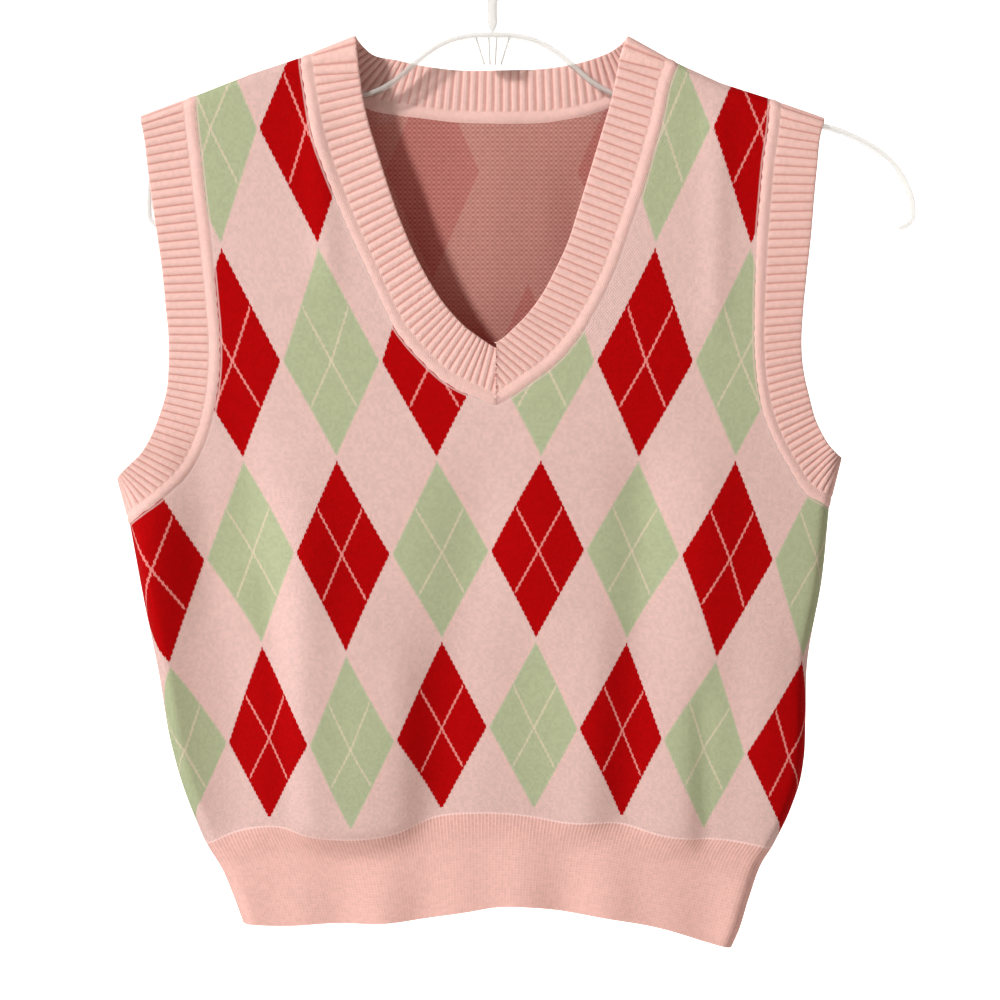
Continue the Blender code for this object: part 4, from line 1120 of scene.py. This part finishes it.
def mitre_stitches():
    """Slanting stitches of sewing yarn over the neckband's two ends, and a round knot below."""
    turn = np.linspace(0.0, 2 * np.pi, THREAD_SIDES, endpoint=False)[None, :, None]
    along = np.linspace(-1.0, 1.0, THREAD_STEPS)
    lift = THREAD_RISE * np.sqrt(np.clip(1.0 - THREAD_DIP * along**2, 0.0, 1.0))
    points, quads = [], []
    for number in range(MITRE_STITCHES + 1):
        knot = number == MITRE_STITCHES
        reach, drop = KNOT_REACH if knot else STITCH_REACH
        x = MITRE_X + reach * along
        z = MITRE_TOP + (MITRE_FOOT - MITRE_TOP) * number / MITRE_STITCHES - drop * along
        thick = (KNOT_SIZE if knot else 1.0) * THREAD
        thick = thick * np.sqrt(np.clip(THREAD_END - along**2, 0.0, 1.0))[:, None, None]
        base = np.column_stack((x, sheet(x, z, "front", gap=0.0), z))
        out = normals(base, "front", gap=0.0)
        centre = base + (0.5 * BAND_WALL + lift)[:, None] * out
        ring_up = np.sin(turn) * np.array((drop, 0.0, reach)) / np.hypot(drop, reach)
        rings = centre[:, None, :] + thick * (np.cos(turn) * out[:, None, :] + ring_up)
        quads.append(ring_quads(numbered(rings)) + sum(map(len, points)))
        points.append(rings.reshape(-1, 3))
    points, quads = np.concatenate(points), np.concatenate(quads)
    return shape("mitre_stitches", points, quads, np.zeros((len(points), 2)))


# For each band: the piece it stands for, its stretches from end to end, each with its line, side
# and whether it runs up, and the size of its cut.
BANDS = {
    "neck_rib": (
        "neckband",
        (
            ("front left", "front", True),
            ("back left", "back", False),
            ("back right", "back", True),
            ("front right", "front", False),
        ),
        (0.70, 0.034),
    ),
    "left_armhole_rib": (
        "armband_left",
        (("left", "front", True), ("left", "back", False)),
        (0.50, 0.034),
    ),
    "right_armhole_rib": (
        "armband_right",
        (("right", "front", True), ("right", "back", False)),
        (0.48, 0.032),
    ),
}
rib_yarn = wide_rib()
for name, (node, stretches, cut) in BANDS.items():
    band = ribbed_band(name, stretches, closed=name != "neck_rib")
    band.data.materials.append(rib_yarn)
    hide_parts(node)
    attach(band, "root")
stitches = mitre_stitches()
stitches.data.materials.append(rib_yarn)
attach(stitches, "root")


# ---------------------------------------------------------------------------------------------
# Hanger.  A clear polystyrene top hanger moulded in one: I-section arms with a thin web between
# two rims, an arch inside the neck that carries a plain round hook, and small ribs under the hook.
# ---------------------------------------------------------------------------------------------

# Top line of each arm: (distance from the hook's middle, z), from the arch that both share.
ARCH = (
    (0, -84.6), (14, -85.5), (27, -89.0), (38, -95.5), (47, -103.0), (56, -110.8),
)
RIGHT_END = (
    (67, -117.3), (82, -121.2), (110, -125.3), (150, -130.6), (186, -136.0), (197, -139.2),
    (206, -143.2), (215, -148.0), (223.5, -154.5), (230.5, -162.5), (235.5, -172.0), (238.2, -181.0),
    (238.5, -187.0),
)
LEFT_END = (
    (67, -117.0), (82, -119.6), (110, -121.4), (140, -123.0), (162, -125.4), (174, -130.5),
    (183, -139.0), (189, -150.0), (193, -163.0), (195, -177.0), (195, -187.0),
)
ARCH_TOP = ARCH[0][1]
HANGER_STEPS = 90
HANGER_DEPTH = 20.0
HANGER_WIDTH = 8.0
HANGER_RIM = 2.4
HANGER_WEB = 2.0
RIM_ROUND = 0.8  # radius of the rims' outer corners
ROUND_IN = 0.3  # how far the middle of such a corner lies inside, in radii
RIM_EASE = 0.4  # of the rims' inner corners
WEB_EASE = 0.5  # of the corners at the web
END_ROUND = 9.0  # length over which an arm's end is rounded off
END_STEPS = 14
END_OPEN = 0.02  # keeps the last section of an end from closing to a point
# Hook, from its foot on the arch round to its end: (x, z).
HOOK_LINE = (
    (0, -84.2), (0, -66), (3, -54), (11, -43), (19, -33), (23, -20), (20, -8.5), (11.5, 0), (0, 3),
    (-11.5, 0), (-20, -8.5), (-23, -20), (-21, -31),
)
HOOK_ROD = 6.0
ROD_SIDES = 20
ROD_RINGS = 120
DOME_RINGS = 6  # of them at each end
DOME_FROM = 0.15  # angle at which a dome starts, so that it ends in a small flat
# Small ribs on the web under the hook: (x at the top rim, x at the bottom rim).
WEB_RIBS = ((-9.5, -4.8), (-2.2, -1.5), (2.2, 1.5), (9.5, 4.8))
WEB_RIB_HALF = 0.5
WEB_RIB_SUNK = 0.2  # into the web
WEB_RIB_BACK = 0.6  # from the rims' face
BOX_FACES = ((0, 1, 3, 2), (4, 6, 7, 5), (0, 4, 5, 1), (2, 3, 7, 6), (1, 5, 7, 3), (0, 2, 6, 4))


def hanger_section():
    """Half of the I-section from the middle of the top, (below the top, y), with eased corners."""
    rim, web, low = 0.5 * HANGER_WIDTH, 0.5 * HANGER_WEB, HANGER_DEPTH - HANGER_RIM
    corner = ROUND_IN * RIM_ROUND
    top = ((0.0, rim - RIM_ROUND), (corner, rim - corner), (RIM_ROUND, rim))
    top_rim = ((HANGER_RIM - RIM_EASE, rim), (HANGER_RIM, rim - RIM_EASE))
    pocket = ((HANGER_RIM, web + WEB_EASE), (HANGER_RIM + WEB_EASE, web))
    pocket += ((low - WEB_EASE, web), (low, web + WEB_EASE))
    low_rim = ((low, rim - RIM_EASE), (low + RIM_EASE, rim), (HANGER_DEPTH - RIM_ROUND, rim))
    foot = ((HANGER_DEPTH - corner, rim - corner), (HANGER_DEPTH, rim - RIM_ROUND))
    return top + top_rim + pocket + low_rim + foot


def sideways(line):
    """Unit steps along a flat line of (x, z) points, and across it."""
    along = unit(np.gradient(line, axis=0))
    return along, np.column_stack((along[:, 1], -along[:, 0]))


def capped(name, rings):
    """A piece through rings of points, closed by a flat cap on the first and on the last."""
    index = numbered(rings)
    caps = [index[0].tolist(), index[-1, ::-1].tolist()]
    return shape(name, rings.reshape(-1, 3), ring_quads(index), polygons=caps)


def hanger_moulding():
    """The section carried from end to end; near an end its depth and its pocket draw in round."""
    right, left = [through(ARCH + end, HANGER_STEPS) for end in (RIGHT_END, LEFT_END)]
    line = np.concatenate((left[:0:-1] * (-1, 1), right))
    along, inward = sideways(line)
    half = np.array(hanger_section())
    section = np.concatenate((half, half[::-1] * (1, -1)))
    rim, centre = 0.5 * HANGER_WIDTH, 0.5 * HANGER_DEPTH
    pocket_reach = centre - HANGER_RIM
    turn = np.linspace(0.0, 0.5 * np.pi, END_STEPS + 1)[1:]
    past = END_ROUND * np.sin(turn)
    rings = []
    stations = [(-1, step) for step in past[::-1]] + [(0, k) for k in range(len(line))]
    stations += [(1, step) for step in past]
    for end, value in stations:
        step = value if end else 0.0
        k = value if end == 0 else (0 if end < 0 else -1)
        outer = np.sqrt(max(1.0 - (step / (END_ROUND + END_OPEN)) ** 2, 0.0))
        pocket = np.sqrt(max(1.0 - (step / (END_ROUND - HANGER_RIM)) ** 2, 0.0))
        from_centre = section[:, 0] - centre
        inner = np.abs(from_centre) <= pocket_reach + 0.01
        drawn = from_centre * np.where(inner, pocket, outer)
        filled = inner & (pocket == 0.0)
        y = np.where(filled, np.sign(section[:, 1]) * (rim - RIM_EASE), section[:, 1])
        place = line[k] + end * along[k] * step
        placed = place + (centre + drawn)[:, None] * inward[k]
        rings.append(np.column_stack((placed[:, 0], y, placed[:, 1])))
    made = capped("hanger_moulding", np.stack(rings))
    below = section[:, 0] + 0.5 * np.diff(section[:, 0], append=section[:1, 0])
    slots = np.zeros(len(made.data.polygons), np.int32)
    strips = np.tile(below > HANGER_RIM, len(rings) - 1)
    slots[: len(strips)] = strips
    made.data.polygons.foreach_set("material_index", slots)
    return made


def hook_rod():
    """Round rod along the hook's line in the middle plane, with domed ends."""
    path = through(HOOK_LINE, ROD_RINGS)
    across = sideways(path)[1]
    dome = np.sin(np.linspace(DOME_FROM, 0.5 * np.pi, DOME_RINGS))
    size = np.concatenate((dome, np.ones(ROD_RINGS - 2 * DOME_RINGS), dome[::-1])) * 0.5 * HOOK_ROD
    angle = np.linspace(0.0, 2 * np.pi, ROD_SIDES, endpoint=False)
    out = across[:, None, :] * np.cos(angle)[None, :, None] * size[:, None, None]
    places = path[:, None, :] + out
    y = np.sin(angle)[None, :] * size[:, None]
    return capped("hanger_hook_rod", np.stack((places[..., 0], y, places[..., 1]), axis=-1))


def web_ribs():
    """Four thin bars on each face of the web, standing on it between the two rims."""
    corners, quads = [], []
    top_z = ARCH_TOP - HANGER_RIM
    low_z = ARCH_TOP - HANGER_DEPTH + HANGER_RIM
    foot_y, face_y = 0.5 * HANGER_WEB - WEB_RIB_SUNK, 0.5 * HANGER_WIDTH - WEB_RIB_BACK
    box = np.array(BOX_FACES)
    for x_top, x_low in WEB_RIBS:
        for hand in (-1, 1):
            quads.append((box if hand < 0 else box[:, ::-1]) + len(corners))
            for x, z in ((x_top, top_z), (x_low, low_z)):
                for across in (-WEB_RIB_HALF, WEB_RIB_HALF):
                    corners += [(x + across, hand * foot_y, z), (x + across, hand * face_y, z)]
    return shape("hanger_web_ribs", np.array(corners, float), np.concatenate(quads))


PLASTIC_ROUGH = 0.12
PLASTIC_IOR = 1.59
PLASTIC_GLOSS = 0.5  # at most; thin plastic has less, as its alpha


def clear_polystyrene(name, colour, seen):
    """Clear polished polystyrene, painted as a pale colour that covers a part, seen, of what lies behind it:
    painted reflection for the light that the clear plastic throws back and bends.
    """
    material, tree = empty_material(name)
    finish = {"Base Color": linear(colour), "Roughness": PLASTIC_ROUGH, "IOR": PLASTIC_IOR}
    finish["Alpha"] = seen
    finish["Specular IOR Level"] = min(PLASTIC_GLOSS, seen)
    add(tree, "OutputMaterial", add(tree, "BsdfPrincipled", named=finish))
    return material


# painted reflection: the rims' pale grey and the web's faint film stand in for light thrown back and bent by
# clear plastic
edge_on = clear_polystyrene("clear polystyrene, thick rim", "#D8D5CF", seen=0.52)
flat_on = clear_polystyrene("clear polystyrene, thin web", "#EDEBE6", seen=0.015)
moulding = hanger_moulding()
hook = hook_rod()
ribs = web_ribs()
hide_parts("hanger_arms")
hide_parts("hanger_hook")
for piece in (moulding, hook, ribs):
    piece.data.materials.append(edge_on)
    piece.data.materials.append(flat_on)
    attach(piece, "root")


# ---------------------------------------------------------------------------------------------
# Studio.  A pale floor that sweeps up into a white wall, lit brighter than the object as in a
# high-key studio, a key lamp from the upper left, and soft fill.
# ---------------------------------------------------------------------------------------------

# In metres.
STAGE_HALF = 4.0
STAGE_FRONT = -5.0
WALL_Y = 2.0
FLOOR_Z = -1.6
WALL_TOP = 3.0
SWEEP = 0.4
SWEEP_STEPS = 24
PAPER = "#E4E3E1"
PAPER_ROUGH = 0.95
WALL_GLOW = 1.25


def studio_sweep():
    """Floor that turns up into a wall through a quarter round; "up" is 0 on the floor, 1 above."""
    angle = np.linspace(0.0, 0.5 * np.pi, SWEEP_STEPS)
    bend_y = WALL_Y - SWEEP + SWEEP * np.sin(angle)
    bend_z = FLOOR_Z + SWEEP - SWEEP * np.cos(angle)
    y = np.concatenate(([STAGE_FRONT], bend_y, [WALL_Y])) / MM
    z = np.concatenate(([FLOOR_Z], bend_z, [WALL_TOP])) / MM
    x = np.array((-STAGE_HALF, STAGE_HALF)) / MM
    across, deep = np.meshgrid(x, y, indexing="ij")
    high = np.broadcast_to(z, deep.shape)
    points = np.stack((across, deep, high), axis=-1)
    quads = grid_quads(numbered(points))
    up = np.clip((high * MM - FLOOR_Z) / SWEEP, 0.0, 1.0).ravel()
    return shape("studio_sweep", points.reshape(-1, 3), quads, attributes={"up": up})


def white_paper():
    """Seamless paper; the wall part is as bright as a background lamp makes it."""
    material, tree = empty_material("white seamless paper")
    glow = maths(tree, "MULTIPLY", attribute(tree, "up"), WALL_GLOW)
    colour = linear(PAPER)
    finish = {"Base Color": colour, "Roughness": PAPER_ROUGH, "Emission Color": colour}
    finish["Emission Strength"] = glow
    add(tree, "OutputMaterial", add(tree, "BsdfPrincipled", named=finish))
    return material


backdrop = studio_sweep()
backdrop.data.materials.append(white_paper())


def area_light(name, place, aim, size, power, colour):
    """A square lamp at a place, turned to face a point."""
    lamp = bpy.data.lights.new(name, "AREA")
    lamp.color = colour
    lamp.size = size
    lamp.energy = power
    made = bpy.data.objects.new(name, lamp)
    made.location = place
    made.rotation_euler = (Vector(aim) - Vector(place)).to_track_quat("-Z", "Y").to_euler()
    bpy.context.scene.collection.objects.link(made)


area_light(
    "key", place=(-3.61, -3.49, 2.1), aim=(0.0, 0.0, -0.33), size=0.6, power=316.0, colour=(0.985, 1.0, 1.01)
)
area_light(
    "fill", place=(1.9, -1.9, 0.1), aim=(0.0, 0.0, -0.35), size=2.0, power=9.5, colour=(1.0, 0.85, 0.78)
)
world = bpy.data.worlds.new("studio")
bpy.context.scene.world = world
world.use_nodes = True
surroundings = world.node_tree.nodes["Background"]
surroundings.inputs["Color"].default_value = (1.0, 0.88, 0.82, 1.0)
surroundings.inputs["Strength"].default_value = 0.17
bpy.context.scene.view_settings.view_transform = "Standard"

# The camera looks level along +Y, a little under the middle of the vest's height.
CAMERA_PLACE = (0.0041, -1.334, -0.3485)
LENS = 85.0
SENSOR = 36.0

camera_data = bpy.data.cameras.new("camera")
camera_data.lens = LENS
camera_data.sensor_width = SENSOR
camera = bpy.data.objects.new("camera", camera_data)
camera.location = CAMERA_PLACE
camera.rotation_euler = (0.5 * np.pi, 0.0, 0.0)
bpy.context.scene.collection.objects.link(camera)
bpy.context.scene.camera = camera
